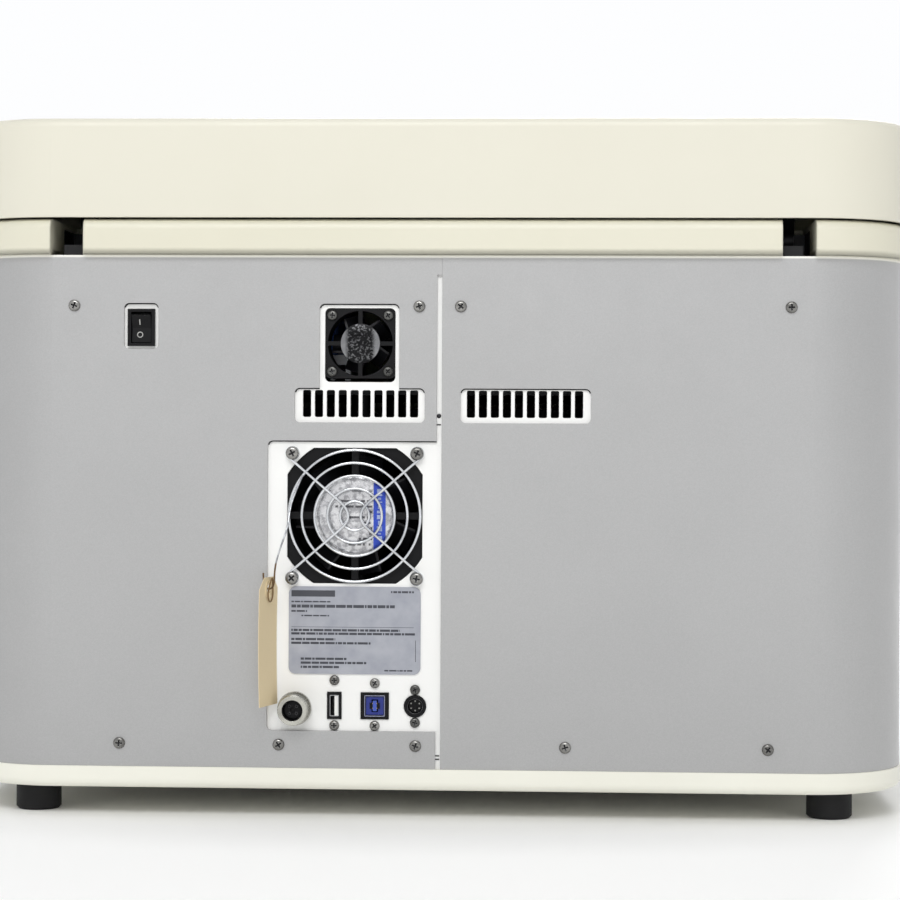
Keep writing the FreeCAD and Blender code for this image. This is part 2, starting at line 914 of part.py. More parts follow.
def make_base():
    """The moulded tray, its feet and the steel floor on its ribs."""
    tray = new_body("base_tray_body")
    pad(tray, plan(sketch_on(tray, "base_outline", "XY_Plane", "base_bottom"), "base_inset"), "base_tall")
    round_edges(tray, "base_lower_round", "base_round", lambda edge: level(edge, "z", "base_bottom"))
    hollow = plan(sketch_on(tray, "base_hollow", "XY_Plane", "base_top"), "base_inset + base_wall")
    pocket(tray, hollow, "base_tall - base_floor")
    rib_end = "lid_wide/2 - base_inset - base_wall/2"
    rib_level = "base_bottom + base_floor"
    for number in SIDES:
        middle = f"plan_mid + ({number})*rib_pitch/2"
        rib = sketch_on(tray, f"cross_rib_{number + 1}", "XY_Plane", rib_level)
        rectangle(rib, (f"-({rib_end})", rib_end), centred(middle, "rib_thick"))
        pad(tray, rib, "rib_tall")
    for number in range(-1, 2):
        rib = sketch_on(tray, f"long_rib_{number + 1}", "XY_Plane", rib_level)
        ends = ("lid_front + base_inset + base_wall/2", "lid_rear - base_inset - base_wall/2")
        rectangle(rib, centred(f"({number})*rib_pitch", "rib_thick"), ends)
        pad(tray, rib, "rib_tall")
    node("base_tray", tray)

    profile = [
        ("0", "foot_dish"),
        ("foot_dish_radius", "foot_dish"),
        ("foot_dish_radius", "0"),
        ("foot_radius - foot_edge", "0"),
        ("foot_radius", "foot_edge"),
        ("foot_radius", "foot_tall"),
        ("0", "foot_tall"),
    ]
    feet = []
    for side in SIDES:
        for end in SIDES:
            foot = turned(f"foot_{side + 1}{end + 1}", profile)
            feet.append(place(foot, f"({side})*foot_side", f"plan_mid + ({end})*foot_from_mid"))
    node("rubber_feet", group("feet_group", feet))

    floor = new_body("chassis_floor_body")
    edge = "base_inset + base_wall + flush_gap"
    pad(floor, plan(sketch_on(floor, "floor_outline", "XY_Plane", "base_top"), edge), "plate_thick", True)
    node("chassis_floor", floor)


def make_covers():
    """The two bent sheet covers that meet at the rear seam."""
    for name, side in (("side_cover_left", 1), ("side_cover_right", -1)):
        cover = new_body(f"{name}_body")
        ring = plan(sketch_on(cover, f"{name}_ring", "XY_Plane", "base_top"), "trim_proud")
        plan(ring, "trim_proud + cover_wall")
        pad(cover, ring, "cover_tall")
        away = "seam_right"
        far = f"({-side})*lid_wide"
        end = f"({side})*corner_start"
        waste = sketch_on(cover, f"{name}_waste", "XY_Plane", "base_top")
        corners = [
            (away, "lid_rear"),
            (far, "lid_rear"),
            (far, "lid_front"),
            (end, "lid_front"),
            (end, "plan_mid"),
            (away, "plan_mid"),
        ]
        closed(waste, corners)
        pocket(cover, waste, "cover_tall", True)
        cuts = []
        if side == 1:
            seam = sketch_on(cover, "seam_relief", "XZ_Plane")
            rectangle(seam, ("seam_right - plate_thick", "seam_left"), ("foot_tall", "seam_top"))
            cut_through(cover, seam)
            cuts = [
                ("switch_window", centred("switch_x", "switch_cut_wide"), ("switch_cut_low", "switch_cut_high")),
                ("fan_window", ("fan_cut_low_x", "fan_cut_high_x"), ("slot_low", "fan_cut_top")),
                ("vent_window", ("vent_cut_low_x", "vent_cut_high_x"), ("vent_cut_low", "vent_cut_high")),
                ("port_window", ("-port_cut_side", "port_cut_side"), ("port_cut_low", "port_cut_high")),
            ]
        else:
            across = ("side_vent_cut_low_x", "side_vent_cut_high_x")
            cuts = [("side_vent_window", across, ("vent_cut_low", "vent_cut_high"))]
        for cut_name, across, up in cuts:
            sketch = sketch_on(cover, cut_name, "XZ_Plane")
            cut_through(cover, rounded(sketch, across, up, "cut_corner"))
        node(name, cover)


def make_band():
    """The trim band that seats on the covers and frames the optics."""
    band = new_body("upper_trim_band_body")
    layers = (
        ("band_foot", "cover_top", "band_foot_deep", "band_shelf"),
        ("band_side", "cover_top + band_shelf", "band_wall", "band_tall - 2*band_shelf"),
        ("band_roof", "band_top - band_shelf", "band_shelf_deep", "band_shelf"),
    )
    for name, height, deep, tall in layers:
        ring = plan(sketch_on(band, name, "XY_Plane", height), "0")
        plan(ring, deep)
        pad(band, ring, tall)

    def outer_top(edge):
        outside = edge.BoundBox.DiagonalLength > 1 and edge_inset(edge) < SAME
        return outside and level(edge, "z", "band_top")

    round_edges(band, "band_top_round", "band_edge", outer_top)
    for side in SIDES:
        frame = sketch_on(band, f"notch_frame_{side + 1}", "XY_Plane", "band_top - band_shelf")
        across = centred(f"({side})*hinge_x", "notch_wide + 2*band_wall")
        rectangle(frame, across, ("lid_rear - notch_deep - band_wall", "lid_rear - band_shelf_deep/2"))
        pad(band, frame, "band_shelf")
        cheeks = sketch_on(band, f"notch_cheeks_{side + 1}", "XY_Plane", "cover_top")
        across = centred(f"({side})*hinge_x", "notch_wide + 2*cheek_wall")
        rectangle(cheeks, across, ("lid_rear - cheek_deep", "lid_rear - band_wall/2"))
        pad(band, cheeks, "band_tall - band_shelf/2")
    for side in SIDES:
        notch = sketch_on(band, f"hinge_notch_{side + 1}", "XY_Plane", "cover_top")
        across = centred(f"({side})*hinge_x", "notch_wide")
        rectangle(notch, across, ("lid_rear - notch_deep", "lid_rear + trim_proud"))
        pocket(band, notch, "band_tall", True)
    scoop = sketch_on(band, "finger_scoop", "XY_Plane", "band_top - scoop_tall")
    rectangle(scoop, ("-scoop_half", "scoop_half"), ("lid_front - trim_proud", "lid_front + band_wall/2"))
    pocket(band, scoop, "scoop_tall", True)
    node("upper_trim_band", band)


def edge_inset(edge):
    """How far the middle of an edge lies inside the lid's plan outline."""
    middle = edge.valueAt((edge.FirstParameter + edge.LastParameter) / 2)
    across = abs(middle.x) - value("corner_start")
    along = abs(middle.y - value("plan_mid")) - value("lid_deep/2 - lid_corner")
    if across > 0 and along > 0:
        return value("lid_corner") - math.hypot(across, along)
    return value("lid_corner") - max(across, along)


def make_lid():
    """The moulded lid shell with stiffening ribs under its roof."""
    lid = new_body("lid_body")
    pad(lid, plan(sketch_on(lid, "lid_outline", "XY_Plane", "lid_bottom"), "0"), "lid_tall")
    round_edges(lid, "lid_top_round", "lid_edge", lambda edge: level(edge, "z", "lid_top"))
    hollow = plan(sketch_on(lid, "lid_hollow", "XY_Plane", "lid_bottom"), "lid_wall")
    pocket(lid, hollow, "lid_tall - lid_roof", True)
    for number in SIDES:
        rib = sketch_on(lid, f"lid_rib_{number + 1}", "XY_Plane", "roof_low - rib_thick")
        ends = ("lid_front + lid_wall/2", "lid_rear - lid_wall/2")
        rectangle(rib, centred(f"({number})*rib_pitch", "rib_thick"), ends)
        pad(lid, rib, "rib_thick + lid_roof/2")
    node("lid", lid)


def make_fascia():
    """The moulded front panel with its tank alcove and sample bay openings."""
    fascia = new_body("front_fascia_body")
    front = "-(lid_front)"
    outline = sketch_on(fascia, "fascia_outline", "XZ_Plane", front)
    rectangle(outline, ("-fascia_side", "fascia_side"), ("base_top", "cover_top"))
    pad(fascia, outline, "fascia_thick", True)
    round_edges(
        fascia,
        "fascia_edge_round",
        "fascia_edge",
        lambda edge: upright(edge) and level(edge, "y", "lid_front"),
    )
    openings = (
        ("alcove_opening", ("alcove_low_x", "alcove_high_x"), ("alcove_low", "alcove_high")),
        ("bay_opening", ("bay_low_x", "bay_high_x"), ("bay_low", "bay_high")),
    )
    for name, across, up in openings:
        sketch = sketch_on(fascia, name, "XZ_Plane")
        cut_through(fascia, rounded(sketch, across, up, "opening_corner"))
    bore = sketch_on(fascia, "button_bore", "XZ_Plane")
    cut_through(fascia, circle(bore, "bay_mid", "button_z", "button_radius + button_gap"))
    slot = sketch_on(fascia, "light_slot", "XZ_Plane", front)
    rectangle(slot, centred("bay_mid", "2*light_half"), ("light_low", "light_high"))
    pocket(fascia, slot, "light_thick")
    node("front_fascia", fascia)
    across = centred("bay_mid", "2*light_half")
    lens = block("light_lens", across, ("lid_front", "lid_front + light_thick"), ("light_low", "light_high"))
    node("status_light", lens)


# Lid hinge

def gooseneck(name, side):
    """One bent lid arm: a hub on the pin, a neck round the trim band and a foot under the roof."""
    arm = new_body(name)
    low_x = f"({side})*(arm_x) - arm_wide/2"
    half = "arm_thick/2"
    neck = sketch_on(arm, f"{name}_neck", "YZ_Plane", low_x)
    corners = [
        (f"pivot_y - {half}", "pivot_z"),
        (f"pivot_y + {half}", "pivot_z"),
        (f"pivot_y - arm_bend_in + {half}*1.15", f"pivot_z + arm_bend_up - {half}*0.2"),
        (f"pivot_y - arm_knee_in + {half}", f"pivot_z + arm_knee_up - {half}*0.27"),
        (f"pivot_y - arm_knee_in + {half}", "roof_low - arm_foot_thick/2"),
        (f"pivot_y - arm_knee_in - {half}", "roof_low - arm_foot_thick/2"),
        (f"pivot_y - arm_knee_in - {half}", f"pivot_z + arm_knee_up + {half}*0.27"),
        (f"pivot_y - arm_bend_in - {half}*1.15", f"pivot_z + arm_bend_up + {half}*0.2"),
    ]
    closed(neck, corners)
    pad(arm, neck, "arm_wide")
    hub = sketch_on(arm, f"{name}_hub", "YZ_Plane", f"({side})*hinge_x - notch_wide/2 + hub_gap")
    circle(hub, "pivot_y", "pivot_z", "hub_radius")
    pad(arm, hub, "notch_wide - 2*hub_gap")
    foot = sketch_on(arm, f"{name}_foot", "XY_Plane", "roof_low - arm_foot_thick")
    middle = "pivot_y - arm_knee_in"
    rounded(foot, centred(f"({side})*(arm_x)", "arm_foot_wide"), centred(middle, "arm_foot_long"), "cut_corner")
    pad(arm, foot, "arm_foot_thick")
    bore = sketch_on(arm, f"{name}_bore", "YZ_Plane")
    cut_through(arm, circle(bore, "pivot_y", "pivot_z", "hinge_pin_radius + pin_clear"))
    low, high = value("pivot_z + 2*hub_radius"), value("roof_low - 2*arm_foot_thick")
    round_edges(
        arm,
        f"{name}_bends",
        "arm_round",
        lambda edge: crosswise(edge) and low < edge.BoundBox.ZMin < high,
    )
    return arm


def make_hinge():
    """Arms, fixed brackets, pins and stop blocks of the lid hinge."""
    arms, brackets, pins, stops = [], [], [], []
    for side in SIDES:
        mark = side + 1
        arms.append(gooseneck(f"hinge_arm_{mark}", side))
        walls = []
        inner = f"({side})*hinge_x - notch_wide/2"
        outer = f"({side})*hinge_x + notch_wide/2"
        deep = ("bracket_front", "plate_front")
        for number, (low, high) in enumerate(
            ((f"{inner} - bracket_wall", inner), (outer, f"{outer} + bracket_wall"))
        ):
            lower = block(f"bracket_lower_{mark}{number}", (low, high), deep, ("bracket_low", "plate_top"))
            upper_deep = ("bracket_front", "bracket_rear")
            upper = block(f"bracket_upper_{mark}{number}", (low, high), upper_deep, ("plate_top", "bracket_top"))
            walls += [lower, upper]
        ends = (f"{inner} - bracket_wall", f"{outer} + bracket_wall")
        walls.append(block(f"bracket_floor_{mark}", ends, deep, ("bracket_low", "bracket_low + bracket_wall")))
        rear = ("plate_front - bracket_wall", "plate_front")
        walls.append(block(f"bracket_rear_{mark}", ends, rear, ("bracket_low", "plate_top")))
        front = ("bracket_front - bracket_wall", "bracket_front")
        walls.append(block(f"bracket_front_{mark}", ends, front, ("bracket_low", "bracket_top")))
        pin_start = (f"{ends[0]} - pin_head_thick", "pivot_y", "pivot_z")
        bore = rod(f"bracket_bore_{mark}", "x", pin_start, "hinge_pin_radius", "2*notch_wide")
        brackets.append(less(f"bracket_{mark}", joined(f"bracket_walls_{mark}", walls), [bore]))
        head = rod(f"pin_head_{mark}", "x", pin_start, "hinge_pin_head", "pin_head_thick")
        long = "notch_wide + 2*bracket_wall + 2*pin_head_thick"
        shank = rod(f"pin_shank_{mark}", "x", pin_start, "hinge_pin_radius", long)
        far = (ends[1], "pivot_y", "pivot_z")
        clip = rod(f"pin_clip_{mark}", "x", far, "hinge_pin_head", "pin_head_thick")
        pins.append(joined(f"hinge_pin_{mark}", [head, shank, clip]))
        low = inner if side == 1 else f"{outer} - stop_wide"
        across = (low, f"{low} + stop_wide")
        along = ("plate_rear - stop_deep", "plate_rear")
        stops.append(block(f"stop_{mark}", across, along, ("plate_top", "plate_top + stop_tall")))
    node("lid_hinge_arms", group("arm_group", arms))
    node("lid_hinge_brackets", group("bracket_group", brackets))
    node("lid_hinge_pins", group("pin_group", pins))
    node("lid_stop_blocks", group("stop_group", stops))


# Rear plate, screws and connectors

def screw(name, across, up, head, face):
    """A pan head seated on a rear face."""
    profile = [
        ("0", "0"),
        (head, "0"),
        (head, "screw_rise/2"),
        (f"{head}*0.7", "screw_rise"),
        ("0", "screw_rise"),
    ]
    return aim(turned(name, profile), "y", across, face, up)


def make_rear_plate():
    """The white plate behind the covers, with its slots and fan openings."""
    through = ("plate_front - plate_thick", "plate_rear + plate_thick")
    plate = new_body("rear_plate_body")
    outline = sketch_on(plate, "rear_plate_outline", "XZ_Plane", "-(plate_rear)")
    rectangle(outline, ("-(corner_start)", "corner_start"), ("base_top", "plate_top"))
    pad(plate, outline, "plate_thick")
    window = sketch_on(plate, "small_fan_opening", "XZ_Plane")
    across = centred("small_fan_x", "small_fan_open_wide")
    cut_through(plate, rounded(window, across, ("small_fan_open_low", "small_fan_open_high"), "small_fan_corner"))
    for bank, first, pitch in (("fan", "slot_first", "slot_pitch"), ("side", "side_slot_first", "slot_side_pitch")):
        outline = sketch_on(plate, f"{bank}_slot", "XZ_Plane")
        slot = cut_through(plate, rounded(outline, centred(first, "slot_wide"), ("slot_low", "slot_high"), "slot_corner"))
        row = plate.newObject("PartDesign::LinearPattern", f"{bank}_slots")
        row.Originals = [slot]
        row.Direction = (outline, ["H_Axis"])
        bind(row, Length=f"{pitch}*(slot_count - 1)", Occurrences="slot_count")
        plate.Tip = row
    cuts = [
        shared(
            "large_fan_opening",
            block(
                "large_fan_square",
                centred("large_fan_x", "2*large_fan_open_half"),
                through,
                centred("large_fan_z", "2*large_fan_open_half"),
            ),
            rod(
                "large_fan_round",
                "y",
                ("large_fan_x", through[0], "large_fan_z"),
                "large_fan_open_radius",
                "3*plate_thick",
            ),
        ),
        block(
            "switch_hole",
            centred("switch_x", "housing_wide + 2*panel_clear"),
            through,
            centred("switch_z", "housing_tall + 2*panel_clear"),
        ),
        rod("inlet_hole", "y", ("inlet_x", through[0], "inlet_z"), "inlet_barrel + panel_clear", "3*plate_thick"),
        rod("minidin_hole", "y", ("minidin_x", through[0], "port_z"), "minidin_radius + panel_clear", "3*plate_thick"),
    ]
    for name in ("usb_a", "usb_b"):
        wide = f"{name}_wide + 2*panel_clear"
        tall = f"{name}_tall + 2*panel_clear"
        cuts.append(block(f"{name}_hole", centred(f"{name}_x", wide), through, centred("port_z", tall)))
    node("rear_chassis_plate", less("rear_plate_cut", plate, cuts))


def make_screws():
    """Heads of the cover, fan and connector screws."""
    upper = (
        "corner_start - upper_screw_inset",
        "seam_screw_left",
        "seam_screw_right",
        "upper_screw_inset - corner_start",
    )
    lower = (
        "corner_start - switch_screw_inset",
        "port_screw_left",
        "port_screw_right",
        "side_screw",
        "lower_screw_inset - corner_start",
    )
    heads = []
    for height, places in (("screw_upper", upper), ("screw_lower", lower)):
        for number, across in enumerate(places):
            heads.append(screw(f"cover_{height}_{number}", across, height, "screw_head", "cover_rear"))
    for side in SIDES:
        for end in SIDES:
            across = f"large_fan_x + ({side})*large_fan_hole"
            up = f"large_fan_z + ({end})*large_fan_hole"
            heads.append(screw(f"guard_screw_{side + 1}{end + 1}", across, up, "guard_screw_head", "guard_face"))
            across = f"small_fan_x + ({side})*small_fan_hole"
            up = f"small_fan_z + ({end})*small_fan_hole"
            heads.append(screw(f"fan_screw_{side + 1}{end + 1}", across, up, "port_screw_head", "plate_rear"))
    places = (
        ("usb_a_x", "port_screw_far", "port_screw_low"),
        ("usb_b_x", "port_screw_mid", "port_screw_low"),
        ("minidin_x", "port_screw_near", "port_screw_near"),
    )
    for number, (across, above, below) in enumerate(places):
        for mark, up in (("upper", f"port_z + {above}"), ("lower", f"port_z - ({below})")):
            heads.append(screw(f"port_screw_{number}_{mark}", across, up, "port_screw_head", "plate_rear"))
    node("panel_screws", group("screw_group", heads))


def make_switch():
    """The rocker power switch."""
    bezel = block(
        "switch_bezel",
        centred("switch_x", "bezel_wide"),
        ("plate_rear", "plate_rear + bezel_proud"),
        centred("switch_z", "bezel_tall"),
    )
    housing = block(
        "switch_housing",
        centred("switch_x", "housing_wide"),
        ("plate_rear - switch_deep", "plate_rear"),
        centred("switch_z", "housing_tall"),
    )
    blades = []
    for number in range(-1, 2):
        across = centred("switch_x", "blade_wide")
        along = ("plate_rear - switch_deep - blade_long", "plate_rear - switch_deep")
        up = centred(f"switch_z + ({number})*blade_pitch", "blade_thick")
        blades.append(block(f"switch_blade_{number + 1}", across, along, up))
    cavity = block(
        "switch_cavity_tool",
        centred("switch_x", "cavity_wide"),
        ("plate_rear - switch_cavity", "plate_rear + 2*bezel_proud"),
        centred("switch_z", "cavity_tall"),
    )
    pin_half = "rocker_wide/2 + rocker_pin_long"
    start = (f"switch_x - ({pin_half}) - panel_clear", "switch_pivot", "switch_z")
    bore = rod("switch_pin_bore", "x", start, "rocker_pin_radius + pin_clear", f"2*({pin_half} + panel_clear)")
    shell = joined("switch_shell", [bezel, housing, *blades])
    node("power_switch_body", less("switch_body_cut", shell, [cavity, bore]))

    rocker = new_body("rocker_body")
    side = sketch_on(rocker, "rocker_side", "YZ_Plane", "-rocker_wide/2")
    half = "rocker_tall/2"
    corners = [
        ("-rocker_back", f"-{half}"),
        ("rocker_rise", f"-{half}"),
        ("rocker_valley", "0"),
        ("rocker_rise", half),
        ("-rocker_back", half),
        ("-rocker_belly", "0"),
    ]
    pad(rocker, closed(side, corners), "rocker_wide")
    pin = sketch_on(rocker, "rocker_pin", "YZ_Plane", f"-({pin_half})")
    pad(rocker, circle(pin, "0", "0", "rocker_pin_radius"), f"2*({pin_half})")
    rocker.Placement = Placement(Vector(), Rotation(Vector(1, 0, 0), 1))
    bind(rocker, **{"Placement.Rotation.Angle": "-rocker_tilt"})
    node("power_switch_rocker", place(rocker, "switch_x", "switch_pivot", "switch_z"))


def make_ports():
    """Inlet, data sockets, their board and the rating plate."""
    label = new_body("rating_plate_body")
    outline = sketch_on(label, "rating_outline", "XZ_Plane", "-(plate_rear)")
    rounded(outline, ("rating_low_x", "rating_high_x"), ("rating_low", "rating_high"), "rating_corner")
    pad(label, outline, "rating_thick", True)
    node("rating_plate", label)

    flange = "port_deep"
    profile = [
        ("0", "0"),
        ("inlet_barrel", "0"),
        ("inlet_barrel", flange),
        ("inlet_flange", flange),
        ("inlet_flange", f"{flange} + inlet_flange_thick"),
        ("inlet_barrel", f"{flange} + inlet_flange_thick"),
        ("inlet_barrel", "inlet_tip - io_board_rear"),
        ("inlet_bore", "inlet_tip - io_board_rear"),
        ("inlet_bore", "inlet_tip - io_board_rear - inlet_bore_deep"),
        ("0", "inlet_tip - io_board_rear - inlet_bore_deep"),
    ]
    node("dc_inlet_connector", aim(turned("inlet_shell", profile), "y", "inlet_x", "io_board_rear", "inlet_z"))

    along = ("io_board_rear", "plate_rear + port_rise")
    socket = ("plate_rear + port_rise - socket_deep", "plate_rear + 2*port_rise")
    for name, tongue_wide, tongue_tall in (
        ("usb_a", "usb_a_tongue", "usb_a_open_tall*0.8"),
        ("usb_b", "usb_b_key_wide", "usb_b_key_tall"),
    ):
        across = f"{name}_x"
        shell = block(f"{name}_shell", centred(across, f"{name}_wide"), along, centred("port_z", f"{name}_tall"))
        mouth_up = centred("port_z", f"{name}_open_tall")
        mouth = block(f"{name}_mouth", centred(across, f"{name}_open_wide"), socket, mouth_up)
        hollow = less(f"{name}_hollow", shell, [mouth])
        tongue_along = (socket[0], "plate_rear")
        tongue = block(f"{name}_key", centred(across, tongue_wide), tongue_along, centred("port_z", tongue_tall))
        node(f"{name}_port", group(f"{name}_group", [hollow, tongue]))

    profile = [
        ("0", "0"),
        ("minidin_radius", "0"),
        ("minidin_radius", "port_deep + port_rise"),
        ("minidin_bore", "port_deep + port_rise"),
        ("minidin_bore", "port_deep + port_rise - socket_deep"),
        ("0", "port_deep + port_rise - socket_deep"),
    ]
    node("minidin_port", aim(turned("minidin_body", profile), "y", "minidin_x", "io_board_rear", "port_z"))

    board_along = ("io_board_rear - board_thick", "io_board_rear")
    across = ("io_board_low_x", "io_board_high_x")
    board = block("io_board_blank", across, board_along, ("io_board_low", "io_board_high"))
    pillars = [board]
    for side, middle in (("low", "io_board_low_x + standoff_inset"), ("high", "io_board_high_x - standoff_inset")):
        start = (middle, "io_board_rear", "io_board_high - standoff_inset/2")
        pillars.append(rod(f"io_pillar_{side}", "y", start, "standoff_radius", "plate_front - (io_board_rear)"))
    node("io_board", joined("io_board_fused", pillars))


# Fans

def make_fan(name, rear):
    """A square axial fan: a frame with its motor cap and struts, and a bladed rotor on a shaft."""
    side = f"{name}_side"
    deep = f"{name}_deep"
    half = f"{side}/2"
    frame = new_body(f"{name}_frame_body")
    outline = sketch_on(frame, f"{name}_outline", "XY_Plane")
    rounded(outline, (f"-{half}", half), (f"-{half}", half), f"{name}_corner")
    pad(frame, outline, deep)
    duct = sketch_on(frame, f"{name}_duct", "XY_Plane")
    cut_through(frame, circle(duct, "0", "0", f"{name}_bore"))
    inner = f"{deep} - cap_thick"
    reach = f"({half} + {name}_bore)/2"
    for number, (wide, tall) in enumerate(((f"2*{reach}", f"{name}_strut"), (f"{name}_strut", f"2*{reach}"))):
        struts = sketch_on(frame, f"{name}_strut_{number}", "XY_Plane", inner)
        rectangle(struts, centred("0", wide), centred("0", tall))
        pad(frame, struts, "cap_thick")
    cap = sketch_on(frame, f"{name}_cap_disc", "XY_Plane", inner)
    pad(frame, circle(cap, "0", "0", f"{name}_cap"), "cap_thick")
    boss_low = "cup_front + cup_floor + 2*cup_gap"
    boss = sketch_on(frame, f"{name}_stator", "XY_Plane", boss_low)
    circle(boss, "0", "0", f"{name}_hub - cup_wall - cup_gap")
    circle(boss, "0", "0", "fan_shaft + shaft_clear")
    pad(frame, boss, f"{inner} - ({boss_low})")
    aim(frame, "y", f"{name}_x", f"{rear} - {deep}", f"{name}_z")
    node(f"{name}_frame", frame)

    rotor = new_body(f"{name}_rotor_body")
    cup = sketch_on(rotor, f"{name}_cup", "XY_Plane", "cup_front")
    pad(rotor, circle(cup, "0", "0", f"{name}_hub"), f"{inner} - cup_gap - cup_front")
    vanes = []
    rise = f"({inner} - cup_gap - vane_low)"
    for mark, distance, share in (("root", f"{name}_hub - cup_wall/2", "1"), ("tip", f"{name}_tip", "vane_tip_share")):
        section = sketch_on(rotor, f"{name}_vane_{mark}", "YZ_Plane", distance)
        chord = f"{name}_chord"
        low = f"vane_low + {rise}*(1 - {share})/2"
        high = f"vane_low + {rise}*(1 + {share})/2"
        corners = [
            (f"-{chord}", low),
            (f"vane_thick - {chord}", low),
            (chord, high),
            (f"{chord} - vane_thick", high),
        ]
        vanes.append(closed(section, corners))
    vane = rotor.newObject("PartDesign::AdditiveLoft", f"{name}_vane")
    vane.Profile = vanes[0]
    vane.Sections = [vanes[1]]
    vane.Ruled = True
    wheel = rotor.newObject("PartDesign::PolarPattern", f"{name}_vanes")
    wheel.Originals = [vane]
    wheel.Axis = (cup, ["N_Axis"])
    wheel.Angle = 360
    bind(wheel, Occurrences=f"{name}_blades")
    rotor.Tip = wheel
    hollow = sketch_on(rotor, f"{name}_cup_hollow", "XY_Plane", f"{inner} - cup_gap")
    circle(hollow, "0", "0", f"{name}_hub - cup_wall")
    circle(hollow, "0", "0", "fan_shaft")
    pocket(rotor, hollow, f"{inner} - cup_gap - cup_front - cup_floor")
    aim(rotor, "y", f"{name}_x", f"{rear} - {deep}", f"{name}_z")
    node(f"{name}_rotor", rotor)


def make_guard():
    """The wire finger guard: welded rings under two bent arm wires that end in screw eyelets."""
    pieces = []
    for number in range(whole("ring_count")):
        ring = DOC.addObject("Part::Torus", f"guard_ring_{number}")
        ring.Placement = Placement(Vector(), TURNS["y"])
        bind(ring, Radius1=f"ring_first + {number}*ring_pitch", Radius2="wire_radius")
        pieces.append(place(ring, "large_fan_x", "guard_y + wire_radius", "large_fan_z"))
    arm_y = "guard_y + 2.2*wire_radius"
    for side in SIDES:
        route = [
            (f"large_fan_x + ({side})*large_fan_hole", arm_y, "large_fan_z + large_fan_hole"),
            (f"large_fan_x + ({side})*arm_near", arm_y, "large_fan_z"),
            (f"large_fan_x + ({side})*large_fan_hole", arm_y, "large_fan_z - large_fan_hole"),
        ]
        pieces.append(wire_along(f"guard_arm_{side + 1}", route, "wire_radius", "arm_near"))
        for end in SIDES:
            across = f"large_fan_x + ({side})*large_fan_hole"
            up = f"large_fan_z + ({end})*large_fan_hole"
            start = (across, "plate_rear", up)
            tall = "guard_face - plate_rear"
            pieces.append(rod(f"guard_eye_{side + 1}{end + 1}", "y", start, "eyelet_radius", tall))
    node("large_fan_guard", joined("guard_fused", pieces))


def make_tag():
    """A blank card tag that hangs on a thin wire from the guard."""
    card = new_body("tag_card")
    outline = sketch_on(card, "tag_outline", "YZ_Plane", "-tag_thick/2")
    half = "tag_wide/2"
    clip = "tag_wide/4"
    corners = [
        (f"-{half}", "tag_low - tag_eye_z"),
        (half, "tag_low - tag_eye_z"),
        (half, f"tag_high - tag_eye_z - {clip}"),
        (f"{half} - {clip}", "tag_high - tag_eye_z"),
        (f"{clip} - {half}", "tag_high - tag_eye_z"),
        (f"-{half}", f"tag_high - tag_eye_z - {clip}"),
    ]
    closed(outline, corners)
    circle(outline, "0", "0", "tag_eye_radius")
    pad(card, outline, "tag_thick")
    card.Placement = Placement(Vector(), Rotation(Vector(0, 0, 1), 1))
    bind(card, **{"Placement.Rotation.Angle": "-tag_turn"})
    node("service_tag", place(card, "tag_x", "tag_y", "tag_eye_z"))

    near_x = "tag_loop_half*cos(tag_turn)"
    near_y = "tag_loop_half*sin(tag_turn)"
    out = "guard_y + 2*wire_radius + 2*tag_wire_radius"
    route = [
        (f"tag_x + {near_x}", f"tag_y - {near_y}", "tag_eye_z + 9"),
        (f"tag_x + {near_x}", f"tag_y - {near_y}", "tag_eye_z"),
        (f"tag_x - {near_x}", f"tag_y + {near_y}", "tag_eye_z"),
        (f"tag_x - {near_x}", f"tag_y + {near_y}", "tag_eye_z + 12"),
        ("tag_x - 6.2", "tag_y - 1", "tag_eye_z + 23"),
        ("tag_x - 10.3", "tag_y - 4", "tag_eye_z + 35"),
        ("tag_x - 11.1", "tag_y - 8", "tag_eye_z + 47"),
        ("tag_x - 14.6", f"{out} + 1.5", "tag_eye_z + 57"),
        ("large_fan_x + tie_radius*cos(tie_angle)", out, "large_fan_z + tie_radius*sin(tie_angle)"),
    ]
    node("tag_wire", wire_along("tag_wire_run", route, "tag_wire_radius"))


# Optics

def make_deck():
    """The optics plate on its six posts."""
    deck = new_body("optics_deck_body")
    outline = sketch_on(deck, "deck_outline", "XY_Plane", "deck_low")
    rounded(outline, ("-deck_side", "deck_side"), ("deck_front", "deck_rear"), "deck_corner")
    pad(deck, outline, "deck_thick")
    node("optics_deck", deck)
    posts = []
    profile = [
        ("0", "0"),
        ("post_foot_radius", "0"),
        ("post_foot_radius", "post_foot_thick"),
        ("post_radius", "post_foot_thick"),
        ("post_radius", "deck_low - (base_top)"),
        ("0", "deck_low - (base_top)"),
    ]
    for across_mark, across in (("right", "-post_x"), ("mid", "post_mid_x"), ("left", "post_x")):
        for along_mark, along in (("front", "post_front"), ("rear", "post_rear")):
            post = turned(f"post_{across_mark}_{along_mark}", profile)
            posts.append(place(post, across, along, "base_top"))
    node("deck_posts", group("post_group", posts))


def laser_middle(number):
    return f"laser_first + {number}*laser_pitch"


